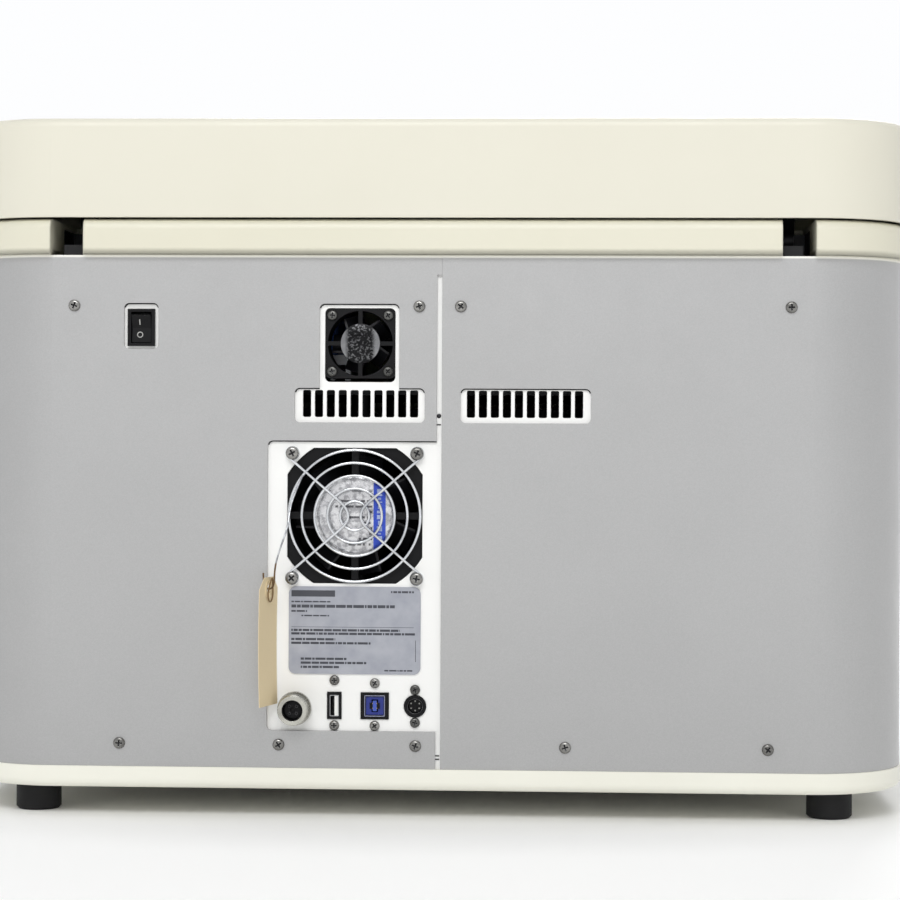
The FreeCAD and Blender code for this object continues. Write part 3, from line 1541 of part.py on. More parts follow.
def make_lasers():
    """Four laser modules on a finned heat sink in front of the small fan."""
    across = ("sink_low_x", "sink_high_x")
    along = ("sink_front", "sink_rear")
    pieces = [block("sink_base_plate", across, along, ("deck_top + fin_tall", "sink_top"))]
    fins = int((value("sink_high_x - sink_low_x - fin_thick")) / value("fin_pitch")) + 1
    for number in range(fins):
        low = f"sink_low_x + {number}*fin_pitch"
        pieces.append(block(f"fin_{number}", (low, f"{low} + fin_thick"), along, ("deck_top", "deck_top + fin_tall")))
    node("laser_heat_sink", joined("sink_fused", pieces))
    modules = []
    for number in range(whole("laser_count")):
        module = new_body(f"laser_{number + 1}_body")
        outline = sketch_on(module, f"laser_{number + 1}_outline", "XY_Plane", "sink_top")
        rounded(outline, centred(laser_middle(number), "laser_wide"), ("laser_front", "laser_rear"), "laser_edge")
        pad(module, outline, "laser_tall")
        snout = sketch_on(module, f"laser_{number + 1}_snout", "XZ_Plane", "-laser_front")
        circle(snout, laser_middle(number), "beam_z", "snout_radius")
        pad(module, snout, "snout_long")
        modules.append(module)
    node("laser_modules", group("laser_group", modules))


def make_mirrors():
    """Steering mirrors that bring the beams into one line towards the flow cell."""
    pieces = []
    for number in range(whole("laser_count")):
        mount = new_body(f"mirror_mount_{number}")
        outline = sketch_on(mount, f"mount_outline_{number}", "XY_Plane")
        rectangle(outline, centred("0", "mount_wide"), ("0", "mount_thick"))
        pad(mount, outline, "beam_rise + mirror_radius + mirror_thick")
        disc = sketch_on(mount, f"mirror_disc_{number}", "XZ_Plane")
        circle(disc, "0", "beam_rise", "mirror_radius")
        pad(mount, disc, "mirror_thick")
        mount.Placement = Placement(Vector(), Rotation(Vector(0, 0, 1), 1))
        bind(mount, **{"Placement.Rotation.Angle": "-mount_turn"})
        pieces.append(place(mount, laser_middle(number), "mirror_y", "deck_top"))
    node("steering_mirrors", group("mirror_group", pieces))


def make_flow_cell():
    """Beam lens, flow cell with its cuvette, collection lens and scatter detector."""
    low = "deck_top"
    lens_saddle = block(
        "beam_lens_saddle",
        centred("beam_lens_x", "beam_lens_long/2"),
        centred("mirror_y", "saddle_wide"),
        (low, "beam_z"),
    )
    start = ("beam_lens_x - beam_lens_long/2", "mirror_y", "beam_z")
    tube = rod("beam_lens_tube", "x", start, "beam_lens_radius", "beam_lens_long")
    bore = rod("beam_lens_bore", "x", start, "beam_lens_radius/2", "beam_lens_long")
    beam_lens = less("beam_lens_cut", joined("beam_lens_solid", [lens_saddle, tube]), [bore])

    half = "cell_wide/2"
    cell_along = centred("mirror_y", "cell_wide")
    cell = block("cell_blank", centred("cell_x", "cell_wide"), cell_along, (low, f"{low} + cell_tall"))
    slot = "cuvette_wide + 2*cuvette_clear"
    tools = [
        block("cuvette_slot", centred("cell_x", slot), centred("mirror_y", slot), (f"{low} + cell_window", "lid_top")),
        rod("beam_window", "x", (f"cell_x - {half}", "mirror_y", "beam_z"), "cell_window/2", "cell_wide"),
        rod("collect_window", "y", ("cell_x", f"mirror_y - {half}", "beam_z"), "cell_window/2", half),
    ]
    node("flow_cell_block", less("cell_cut", cell, tools))
    glass = block(
        "cuvette_blank",
        centred("cell_x", "cuvette_wide"),
        centred("mirror_y", "cuvette_wide"),
        (f"{low} + cell_window", f"{low} + cell_tall + cell_window/2"),
    )
    channel = block(
        "cuvette_channel",
        centred("cell_x", "cuvette_wide/6"),
        centred("mirror_y", "cuvette_wide/6"),
        (low, "lid_top"),
    )
    node("flow_cuvette", less("cuvette_cut", glass, [channel]))

    lens_rear = f"mirror_y - {half} - lens_gap"
    profile = [
        ("0", "0"),
        ("lens_radius", "0"),
        ("lens_radius", "lens_long*0.7"),
        ("lens_radius*0.55", "lens_long"),
        ("0", "lens_long"),
    ]
    barrel = aim(turned("lens_barrel", profile), "y", "cell_x", f"{lens_rear} - lens_long", "beam_z")
    saddle_y = f"{lens_rear} - lens_long*0.65"
    saddle = block("lens_saddle", centred("cell_x", "saddle_wide"), centred(saddle_y, "saddle_wide"), (low, "beam_z"))
    node("lens_mounts", group("lens_group", [beam_lens, joined("lens_fused", [barrel, saddle])]))

    across = centred("scatter_x", "scatter_wide")
    housing = block("scatter_housing", across, centred("mirror_y", "scatter_deep"), (low, f"{low} + scatter_tall"))
    start = ("scatter_x + scatter_wide/2", "mirror_y", "beam_z")
    nose = rod("scatter_nose", "x", start, "snout_radius", "snout_long")
    return joined("scatter_fused", [housing, nose])


def cassette_middle(number):
    return f"cell_x - {number}*cassette_pitch"


def make_filters(scatter_detector):
    """The filter rack with four lift-out cassettes and a detector behind each."""
    rack_low = "deck_top"
    rack = block(
        "rack_blank",
        ("rack_low_x", "rack_high_x"),
        ("rack_front", "rack_rear"),
        (rack_low, f"{rack_low} + rack_tall"),
    )
    middle_y = "(rack_front + rack_rear)/2"
    tools = []
    tubes = [scatter_detector]
    for number in range(whole("cassette_count")):
        middle = cassette_middle(number)
        across = centred(middle, "cassette_wide + 2*cassette_clear")
        along = centred(middle_y, "cassette_thick + 2*cassette_clear")
        floor = f"{rack_low} + cassette_floor - cassette_clear"
        tools.append(block(f"cassette_slot_{number}", across, along, (floor, "lid_top")))
        start = (middle, "rack_front", "beam_z")
        tools.append(rod(f"rack_window_{number}", "y", start, "filter_radius", "rack_rear - rack_front"))

        cassette = new_body(f"cassette_{number + 1}_body")
        face = f"-({middle_y} - cassette_thick/2)"
        outline = sketch_on(cassette, f"cassette_{number + 1}_outline", "XZ_Plane", face)
        low = f"{rack_low} + cassette_floor"
        high = f"{low} + cassette_tall"
        rectangle(outline, centred(middle, "cassette_wide"), (low, high))
        pad(cassette, outline, "cassette_thick", True)
        grip = sketch_on(cassette, f"cassette_{number + 1}_grip", "XZ_Plane", face)
        rectangle(grip, centred(middle, "grip_wide"), (high, f"{high} + grip_tall"))
        pad(cassette, grip, "cassette_thick", True)
        glass = sketch_on(cassette, f"cassette_{number + 1}_glass", "XZ_Plane", face)
        circle(glass, middle, "beam_z", "filter_radius")
        pocket(cassette, glass, "cassette_thick/3")
        node(f"filter_cassette_{number + 1}", cassette)

        long = "detector_rear - detector_front"
        profile = [
            ("0", "0"),
            ("detector_radius", "0"),
            ("detector_radius", f"{long} - detector_neck_long"),
            ("detector_neck", f"{long} - detector_neck_long"),
            ("detector_neck", long),
            ("0", long),
        ]
        barrel = turned(f"detector_tube_{number}", profile)
        aim(barrel, "y", middle, "detector_front", "beam_z")
        foot_along = ("detector_front + cassette_floor", "detector_front + cassette_floor + saddle_wide")
        up = (rack_low, "beam_z")
        foot = block(f"detector_foot_{number}", centred(middle, "saddle_wide"), foot_along, up)
        tubes.append(joined(f"detector_{number}", [barrel, foot]))
    node("filter_rack", less("rack_cut", rack, tools))
    node("detector_modules", group("detector_group", tubes))


# Front bays

def make_liner(name, across, up, deep):
    """A moulded tub behind one of the front openings."""
    liner = new_body(f"{name}_liner_body")
    outer = sketch_on(liner, f"{name}_outer", "XZ_Plane", "-(fascia_back)")
    (left, right), (low, high) = across, up
    wall = "liner_wall"
    wide = (f"{left} - {wall}", f"{right} + {wall}")
    tall = (f"{low} - {wall}", f"{high} + {wall}")
    rounded(outer, wide, tall, f"opening_corner + {wall}")
    pad(liner, outer, f"{deep} + {wall}", True)
    inner = sketch_on(liner, f"{name}_inner", "XZ_Plane", "-(fascia_back)")
    pocket(liner, rounded(inner, across, up, "opening_corner"), deep)
    return liner


def make_tanks():
    """The alcove with its two slide-out fluid tanks."""
    liner = make_liner("alcove", ("alcove_low_x", "alcove_high_x"), ("alcove_low", "alcove_high"), "alcove_deep")
    for number in range(2):
        runner = sketch_on(liner, f"alcove_runner_{number}", "XY_Plane", "base_top")
        middle = f"alcove_low_x + (alcove_high_x - alcove_low_x)*{1 + 2*number}/4"
        rectangle(runner, centred(middle, "tank_wide/2"), ("fascia_back", "alcove_back"))
        pad(liner, runner, "alcove_low - liner_wall/2 - (base_top)")
    node("tank_alcove", liner)
    for name, number in (("sheath_tank", 0), ("waste_tank", 1)):
        middle = f"alcove_low_x + (alcove_high_x - alcove_low_x)*{1 + 2*number}/4"
        rear = "alcove_back - tank_gap"
        tank = new_body(f"{name}_body")
        outline = sketch_on(tank, f"{name}_outline", "XY_Plane", "tank_low")
        rounded(outline, centred(middle, "tank_wide"), (f"{rear} - tank_deep", rear), "tank_corner")
        pad(tank, outline, "tank_tall")
        shoulder = "tank_low + tank_tall"
        round_edges(tank, f"{name}_shoulder", "tank_shoulder", lambda edge: level(edge, "z", "tank_low + tank_tall"))
        neck_y = f"{rear} - tank_deep/2"
        stack = (
            ("neck", f"{shoulder}", "neck_radius", "neck_tall"),
            ("cap", f"{shoulder} + neck_tall", "cap_radius", "cap_tall"),
            ("nozzle", f"{shoulder} + neck_tall + cap_tall", "nozzle_radius", "nozzle_tall"),
        )
        for mark, height, radius, tall in stack:
            ring = sketch_on(tank, f"{name}_{mark}", "XY_Plane", height)
            pad(tank, circle(ring, middle, neck_y, radius), tall)
        node(name, tank)


def make_sampler():
    """The sample bay with its probe, the tube lifter on its rail and a sample tube."""
    liner = make_liner("bay", ("bay_low_x", "bay_high_x"), ("bay_low", "bay_high"), "bay_deep")
    for side in SIDES:
        leg = sketch_on(liner, f"bay_leg_{side + 1}", "XY_Plane", "base_top")
        rectangle(leg, centred(f"bay_mid + ({side})*carriage_half*2", "rib_thick"), ("fascia_back", "bay_back"))
        pad(liner, leg, "bay_low - liner_wall/2 - (base_top)")
    rail = sketch_on(liner, "bay_rail", "XY_Plane", "bay_low - liner_wall/2")
    rectangle(rail, centred("bay_mid", "2*rail_half"), ("rail_front", "bay_back + liner_wall/2"))
    pad(liner, rail, "bay_high - bay_low + liner_wall")
    node("sample_bay", liner)

    holder = block(
        "probe_holder",
        centred("bay_mid", "2*probe_block_half"),
        centred("probe_y", "2*probe_block_half"),
        ("bay_high - probe_block_tall", "bay_high"),
    )
    start = ("bay_mid", "probe_y", "probe_tip")
    needle = rod("probe_needle", "z", start, "probe_radius", "bay_high - probe_tip - probe_block_tall/2")
    node("sample_probe", joined("probe_fused", [holder, needle]))

    low = "lifter_low"
    carriage_rear = "bay_back - rail_gap"
    carriage_along = (f"{carriage_rear} - rail_thick - carriage_thick", carriage_rear)
    carriage = block("carriage", centred("bay_mid", "2*carriage_half"), carriage_along, (low, f"{low} + carriage_tall"))
    groove = block(
        "carriage_groove",
        centred("bay_mid", "2*rail_half + 2*rail_gap"),
        ("rail_front - rail_gap", "bay_back"),
        ("bay_low", "bay_high"),
    )
    rider = less("carriage_cut", carriage, [groove])
    arm_along = ("probe_y", f"{carriage_along[0]} + rail_gap")
    arm = block("lifter_arm", centred("bay_mid", "2*lifter_arm_half"), arm_along, (low, f"{low} + cup_base*2"))
    cup = rod("lifter_cup", "z", ("bay_mid", "probe_y", low), "cup_radius", "cup_tall")
    seat = rod("lifter_seat", "z", ("bay_mid", "probe_y", f"{low} + cup_base"), "tube_radius + cup_clear", "cup_tall")
    holder = less("lifter_cup_cut", joined("lifter_solid", [arm, cup]), [seat])
    node("tube_lifter", joined("lifter_fused", [rider, holder]))

    inner = "tube_radius - tube_wall"
    profile = [
        ("0", "0"),
        ("tube_radius*0.6", "0"),
        ("tube_radius", "tube_radius*0.7"),
        ("tube_radius", "tube_tall"),
        (inner, "tube_tall"),
        (inner, "tube_radius*0.7 + tube_wall"),
        ("tube_radius*0.5", "tube_wall"),
        ("0", "tube_wall"),
    ]
    tube = turned("sample_tube_body", profile)
    node("sample_tube", place(tube, "bay_mid", "probe_y", f"{low} + cup_base"))


def make_button():
    """The sprung front power button and the switch box behind it."""
    face = "lid_front + flush_gap"
    profile = [
        ("0", "button_dish"),
        ("button_radius*0.6", "button_dish*0.6"),
        ("button_radius - flush_gap", "0"),
        ("button_radius", "flush_gap"),
        ("button_radius", "fascia_thick"),
        ("button_stem", "fascia_thick"),
        ("button_stem", "fascia_thick + 2*button_travel"),
        ("0", "fascia_thick + 2*button_travel"),
    ]
    node("front_power_button", aim(turned("button_body", profile), "y", "bay_mid", face, "button_z"))
    half = "button_box_half"
    box_front = "fascia_back"
    along = (box_front, f"{box_front} + button_box_deep")
    box = block("button_box", centred("bay_mid", f"2*{half}"), along, centred("button_z", f"2*{half}"))
    mouth = rod(
        "button_mouth",
        "y",
        ("bay_mid", box_front, "button_z"),
        "button_radius + button_gap",
        "button_travel + 2*flush_gap",
    )
    guide = rod(
        "button_guide",
        "y",
        ("bay_mid", box_front, "button_z"),
        "button_stem + pin_clear",
        "button_box_deep - liner_wall",
    )
    node("front_button_switch", less("button_box_cut", box, [mouth, guide]))


# Fluidics

def make_pumps():
    """Syringe pump with its plunger, sheath pump, valve block and fluid lines."""
    rear = "pump_rear"
    across = centred("pump_x", "2*pump_half")
    floor = "base_top"
    base_top = f"{floor} + pump_base_tall"
    base = block("pump_base", across, ("pump_front", rear), (floor, base_top))
    column = block("pump_column", across, (f"{rear} - column_thick", rear), (base_top, "pump_top"))
    head_along = ("barrel_y - valve_half", f"{rear} - column_thick")
    head_up = ("pump_top - valve_tall", "pump_top")
    head = block("pump_valve", centred("pump_x", "2*valve_half"), head_along, head_up)
    barrel_start = ("pump_x", "barrel_y", "barrel_low")
    barrel = rod("pump_barrel", "z", barrel_start, "barrel_radius", "pump_top - valve_tall - barrel_low + rib_thick")
    bore = rod("pump_bore", "z", barrel_start, "barrel_bore", "pump_top - valve_tall - barrel_low")
    shell = joined("pump_solid", [base, column, head, barrel])
    node("syringe_pump", less("pump_cut", shell, [bore]))

    piston_start = ("pump_x", "barrel_y", "piston_low")
    piston = rod("piston", "z", piston_start, "barrel_bore - piston_gap", "piston_tall")
    rod_start = ("pump_x", "barrel_y", "slider_low")
    stem = rod("plunger_rod", "z", rod_start, "rod_radius", "piston_low - slider_low + rib_thick")
    slider = block(
        "plunger_slider",
        centred("pump_x", "2*slider_half"),
        ("barrel_y - rod_radius*2", f"{rear} - column_thick - slider_gap"),
        ("slider_low", "slider_low + slider_tall"),
    )
    node("syringe_plunger", joined("plunger_fused", [piston, stem, slider]))

    body_tall = "sheath_pump_tall"
    profile = [
        ("0", "0"),
        ("sheath_pump_radius", "0"),
        ("sheath_pump_radius", body_tall),
        ("sheath_head_radius", body_tall),
        ("sheath_head_radius", f"{body_tall} + sheath_head_tall"),
        ("0", f"{body_tall} + sheath_head_tall"),
    ]
    pump = turned("sheath_pump_body", profile)
    node("sheath_pump", place(pump, "sheath_pump_x", "sheath_pump_y", floor))

    across = ("manifold_low_x", "manifold_high_x")
    along = ("manifold_front", "manifold_rear")
    pieces = [block("manifold_block", across, along, (floor, f"{floor} + manifold_tall"))]
    for number in range(whole("valve_count")):
        middle = f"manifold_low_x + (manifold_high_x - manifold_low_x)*{1 + 2*number}/(2*valve_count)"
        start = (middle, "(manifold_front + manifold_rear)/2", f"{floor} + manifold_tall - rib_thick")
        pieces.append(rod(f"solenoid_{number}", "z", start, "valve_radius", "solenoid_tall + rib_thick"))
    node("valve_manifold", joined("manifold_fused", pieces))


# Electronics

def make_electronics():
    """Main board, upright signal cards and the power module."""
    floor = "base_top"
    low = f"{floor} + board_lift"
    top = f"{low} + board_thick"
    pieces = [block("main_board_blank", ("board_low_x", "board_high_x"), ("board_front", "board_rear"), (low, top))]
    corners = [
        (across, along)
        for across in ("board_low_x + standoff_inset", "board_high_x - standoff_inset")
        for along in ("board_front + standoff_inset", "board_rear - standoff_inset")
    ]
    for number, (across, along) in enumerate(corners):
        start = (across, along, floor)
        pieces.append(rod(f"board_standoff_{number}", "z", start, "standoff_radius", "board_lift + board_thick/2"))
    for number in range(whole("chip_count")):
        middle = f"board_low_x + chip_wide + {number}*chip_pitch"
        along = centred("(board_front + board_rear)/2", "chip_wide")
        chip_up = (f"{top} - board_thick/2", f"{top} + chip_tall")
        pieces.append(block(f"chip_{number}", centred(middle, "chip_wide"), along, chip_up))
    along = centred("board_rear - 2*connector_wide", "connector_wide")
    across = centred("(board_low_x + board_high_x)/2", "connector_long")
    pieces.append(block("board_connector", across, along, (f"{top} - board_thick/2", f"{top} + connector_tall")))
    node("main_board", joined("main_board_fused", pieces))

    cards = []
    for number in range(whole("card_count")):
        left = f"card_x - {number}*card_gap"
        along = ("card_front", "card_rear")
        cards.append(block(f"card_{number}", (left, f"{left} + board_thick"), along, (floor, f"{floor} + card_tall")))
        socket = (f"{left} - connector_wide/2", f"{left} + connector_wide/2")
        inset = ("card_front + standoff_inset", "card_rear - standoff_inset")
        cards.append(block(f"card_socket_{number}", socket, inset, (floor, f"{floor} + connector_tall")))
    node("signal_cards", joined("cards_fused", cards))

    supply = new_body("power_module_body")
    outline = sketch_on(supply, "supply_outline", "XY_Plane", floor)
    rounded(outline, ("supply_low_x", "supply_high_x"), ("supply_front", "supply_rear"), "supply_edge")
    pad(supply, outline, "supply_tall")
    node("power_module", supply)


def write_parts():
    """Test every object and write each sub-part to its own file."""
    DOC.recompute()
    for thing in DOC.Objects:
        for word in ("Invalid", "Error"):
            if word in thing.State:
                raise RuntimeError(f"{thing.Label} is not built: {thing.State}")
    for piece in NODES:
        if piece.Shape.isNull() or not piece.Shape.isValid():
            raise RuntimeError(f"{piece.Label} has no valid shape")
    os.makedirs("parts", exist_ok=True)
    for piece in NODES:
        piece.Shape.exportStep(f"parts/{piece.Label}.step")
    print(len(NODES), "sub-parts written")


make_base()
make_covers()
make_band()
make_lid()
make_fascia()
make_hinge()
make_rear_plate()
make_screws()
make_switch()
make_ports()
make_fan("small_fan", "plate_rear")
make_fan("large_fan", "plate_front")
make_guard()
make_tag()
make_deck()
make_lasers()
make_mirrors()
make_filters(make_flow_cell())
make_tanks()
make_sampler()
make_button()
make_pumps()
make_electronics()
write_parts()
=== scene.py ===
"""Looks of a bench flow cytometer with a hinged lid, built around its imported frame.

The photograph shows the rear, so the camera stands behind the instrument. Sizes are in
millimetres of the frame: X runs side to side, +Y is the rear and +Z is up.
"""

import logging
import math
from dataclasses import dataclass
from enum import Enum
from functools import cached_property
from typing import Iterator, Sequence

import bmesh
import bpy
from mathutils import Matrix, Quaternion, Vector


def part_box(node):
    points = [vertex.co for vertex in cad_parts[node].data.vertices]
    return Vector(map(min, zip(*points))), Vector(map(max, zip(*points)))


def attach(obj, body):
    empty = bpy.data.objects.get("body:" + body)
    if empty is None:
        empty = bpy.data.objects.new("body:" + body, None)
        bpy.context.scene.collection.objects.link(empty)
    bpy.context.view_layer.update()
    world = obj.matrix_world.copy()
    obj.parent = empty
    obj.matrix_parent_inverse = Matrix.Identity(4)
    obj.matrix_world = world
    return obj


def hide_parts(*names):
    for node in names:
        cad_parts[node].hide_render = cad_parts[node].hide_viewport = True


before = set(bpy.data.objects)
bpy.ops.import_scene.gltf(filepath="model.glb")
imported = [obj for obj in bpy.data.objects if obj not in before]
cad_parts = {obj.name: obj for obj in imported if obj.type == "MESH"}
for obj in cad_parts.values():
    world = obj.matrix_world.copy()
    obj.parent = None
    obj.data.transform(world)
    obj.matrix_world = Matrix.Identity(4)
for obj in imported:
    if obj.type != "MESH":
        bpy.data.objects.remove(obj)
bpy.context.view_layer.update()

MM = 0.001
LOG = logging.getLogger("flow_cytometer")

Pair = tuple[float, float]
Spot = tuple[float, float, float]
Socket = bpy.types.NodeSocket
Value = Socket | float | str | tuple[float, ...]
Sockets = dict[int | str, Value]


class Axis(Enum):
    """The way that a turned form runs: which of across, up and along lies on X, Y and Z."""

    Y = (0, 2, 1)
    Z = (0, 1, 2)

    def point(self, across: float, up: float, along: float) -> Vector:
        """Turn a place in a cross-section into a point of the frame."""
        return Vector([(across, up, along)[place] for place in self.value])


def linear(tone: str) -> tuple[float, ...]:
    """Turn a written colour into scene light.

    Args:
        tone: The colour as six hexadecimal digits.

    Returns:
        Red, green and blue as linear shares, and full alpha.
    """
    shares = [int(tone[place:place + 2], 16) / 255 for place in (0, 2, 4)]
    light = [s / 12.92 if s <= 0.04045 else ((s + 0.055) / 1.055) ** 2.4 for s in shares]
    return (*light, 1.0)


def circle(radius: float, sides: int, middle: Pair = (0.0, 0.0)) -> list[Pair]:
    """Give the corners of a regular outline about a middle."""
    turns = [2 * math.pi * step / sides for step in range(sides)]
    return [(middle[0] + radius * math.cos(a), middle[1] + radius * math.sin(a)) for a in turns]


def rounded(size: Pair, corner: float, middle: Pair, steps: int = 6) -> list[Pair]:
    """Give the outline of a rectangle with round corners.

    Args:
        size: Its width and height.
        corner: Radius of its corners.
        middle: Where its middle lies in the cross-section.
        steps: How many runs make up each corner.

    Returns:
        The points in order.
    """
    points = []
    for quarter, sides in enumerate(((1, 1), (-1, 1), (-1, -1), (1, -1))):
        across, up = (place + side * (whole / 2 - corner) for place, side, whole in zip(middle, sides, size))
        for step in range(steps + 1):
            angle = math.pi / 2 * (quarter + step / steps)
            points.append((across + corner * math.cos(angle), up + corner * math.sin(angle)))
    return points


def hoop(outer: float, inner: float, low: float, high: float) -> tuple[Pair, ...]:
    """Give the cross-section of a ring with square edges, as radii and heights."""
    return (outer, low), (outer, high), (inner, high), (inner, low)


@dataclass(frozen=True)
class Box:
    """The lowest and highest corner of a solid, in millimetres."""

    low: Vector
    high: Vector

    @property
    def middle(self) -> Vector:
        """The point half way between the corners."""
        return (self.low + self.high) / 2

    @property
    def size(self) -> Vector:
        """How far the box reaches along each axis."""
        return self.high - self.low


def node_box(node: str) -> Box:
    """Give the box of a node of the frame."""
    return Box(*(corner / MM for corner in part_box(node)))


def solids(node: str) -> list[Box]:
    """Find the separate solids of one node.

    Args:
        node: Name of the node in the frame.

    Returns:
        The box of each solid, from the highest to the lowest, then across.
    """
    mesh = bmesh.new()
    mesh.from_mesh(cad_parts[node].data)
    bmesh.ops.remove_doubles(mesh, verts=mesh.verts, dist=MM / 1000)
    waiting = set(mesh.verts)
    boxes = []
    while waiting:
        group = [waiting.pop()]
        for corner in group:
            for edge in corner.link_edges:
                other = edge.other_vert(corner)
                if other in waiting:
                    waiting.remove(other)
                    group.append(other)
        spots = [[corner.co[axis] / MM for corner in group] for axis in range(3)]
        boxes.append(Box(Vector([min(s) for s in spots]), Vector([max(s) for s in spots])))
    mesh.free()
    return sorted(boxes, key=lambda box: (-round(box.middle.z), round(box.middle.x), round(box.middle.y)))


def added(name: str, data: bpy.types.ID) -> bpy.types.Object:
    """Add an object to the scene.

    Args:
        name: Name of the object.
        data: What it shows.

    Returns:
        The new object.
    """
    made = bpy.data.objects.new(name, data)
    bpy.context.scene.collection.objects.link(made)
    return made


# ---- Materials


class Graph:
    """The nodes of a material or a world, with a plain call for each step of a finish."""

    def __init__(self, owner: bpy.types.Material | bpy.types.World) -> None:
        """Start with an empty tree.

        Args:
            owner: The material or world that the nodes belong to.
        """
        owner.use_nodes = True
        self.tree = owner.node_tree
        self.tree.nodes.clear()

    @cached_property
    def place(self) -> Socket:
        """The place on the piece, in metres."""
        return self.add("TexCoord").outputs["Object"]

    def add(self, kind: str, fed: Sockets | None = None, **settings: object) -> bpy.types.Node:
        """Add a node.

        Args:
            kind: The end of its type's name.
            fed: What its inputs take: a number, a written colour or another socket.
            settings: Its options.

        Returns:
            The new node.
        """
        node = self.tree.nodes.new("ShaderNode" + kind)
        for name, setting in settings.items():
            setattr(node, name, setting)
        for name, value in (fed or {}).items():
            if isinstance(value, bpy.types.NodeSocket):
                self.tree.links.new(value, node.inputs[name])
            else:
                node.inputs[name].default_value = linear(value) if isinstance(value, str) else value
        return node

    def stretched(self, stretch: Spot = (1, 1, 1)) -> Socket:
        """Give the place on the piece, in millimetres, scaled along each axis."""
        scale = tuple(share / MM for share in stretch)
        return self.add("VectorMath", {0: self.place, 1: scale}, operation="MULTIPLY").outputs[0]

    def axis(self, name: str) -> Socket:
        """Give the place along one axis of the frame, in millimetres."""
        return self.add("SeparateXYZ", {0: self.stretched()}).outputs[name]

    def noise(self, size: float, detail: float = 3, stretch: Spot = (1, 1, 1)) -> Socket:
        """Give soft noise from the width of its patches, its layers and its stretch."""
        return self.add("TexNoise", {"Vector": self.stretched(stretch), "Scale": 1 / size, "Detail": detail}).outputs[0]

    def cells(self, size: float) -> Socket:
        """Give one random value for each small cell."""
        cell = self.add("TexVoronoi", {"Vector": self.stretched(), "Scale": 1 / size})
        return self.add("SeparateColor", {0: cell.outputs["Color"]}).outputs[0]

    def spread(self, value: Value, low: float, high: float, first: float, last: float) -> Socket:
        """Map a value from one range to another, held at its ends."""
        names = ("Value", "From Min", "From Max", "To Min", "To Max")
        return self.add("MapRange", dict(zip(names, (value, low, high, first, last)))).outputs[0]

    def cloud(
        self, size: float, detail: float, first: float, last: float, low: float = 0.3, high: float = 0.7
    ) -> Socket:
        """Give soft noise whose middle range is mapped to two values."""
        return self.spread(self.noise(size, detail), low, high, first, last)

    def work(self, operation: str, first: Value, second: Value = 0.0) -> Socket:
        """Work out one number from two."""
        return self.add("Math", {0: first, 1: second}, operation=operation).outputs[0]

    def times(self, first: Value, second: Value) -> Socket:
        """Multiply two numbers."""
        return self.work("MULTIPLY", first, second)

    def blend(self, share: Value, first: Value, second: Value) -> Socket:
        """Blend two colours, from the first at none to the second at one."""
        return self.add("Mix", {0: share, 6: first, 7: second}, data_type="RGBA").outputs[2]

    def within(self, axis: str, low: float, high: float, soft: float = 0.1) -> Socket:
        """Give one between two places along an axis, and none outside.

        Args:
            axis: Name of the axis.
            low: The lower place, in millimetres.
            high: The upper place.
            soft: Half the width of each of its two slopes.

        Returns:
            The mask.
        """
        place = self.axis(axis)
        rise = self.spread(place, low - soft, low + soft, 0, 1)
        return self.times(rise, self.spread(place, high - soft, high + soft, 1, 0))

    def edges(self, radius: float) -> tuple[Socket, Socket]:
        """Round the sharp edges for the light.

        Args:
            radius: Radius of the rounding, in millimetres.

        Returns:
            The rounded normal, and a mask that is one at the edges.
        """
        bevel = self.add("Bevel", {"Radius": radius * MM}, samples=3).outputs[0]
        normal = self.add("NewGeometry").outputs["Normal"]
        facing = self.add("VectorMath", {0: bevel, 1: normal}, operation="DOT_PRODUCT")
        return bevel, self.spread(facing.outputs["Value"], 0.82, 0.99, 1, 0)

    def bump(self, height: Value, deep: float, normal: Socket | None = None) -> Socket:
        """Turn a height pattern into a bent normal.

        Args:
            height: The pattern, from none to one.
            deep: Depth of the pattern, in millimetres.
            normal: The normal that it bends.

        Returns:
            The bent normal.
        """
        fed = {"Strength": 1.0, "Distance": deep * MM, "Height": height}
        return self.add("Bump", fed if normal is None else {**fed, "Normal": normal}).outputs[0]


@dataclass(frozen=True)
class Finish:
    """What every finish has: a name, a colour and how rough it is."""

    name: str
    tone: str
    roughness: float = 0.45

    def paint(self, graph: Graph) -> Sockets:
        """Draw the nodes of the finish and give what its shader takes."""
        raise NotImplementedError

    def uneven(self, graph: Graph, size: float, swing: float) -> Socket:
        """Give a roughness that wanders about its written value."""
        return graph.cloud(size, 4, self.roughness - swing, self.roughness + swing)

    def material(self) -> bpy.types.Material:
        """Give the material, made at its first use.

        Returns:
            The material of that name.
        """
        known = bpy.data.materials.get(self.name)
        if known is None:
            known = bpy.data.materials.new(self.name)
            graph = Graph(known)
            shader = graph.add("BsdfPrincipled", self.paint(graph))
            graph.add("OutputMaterial", {"Surface": shader.outputs[0]})
        return known


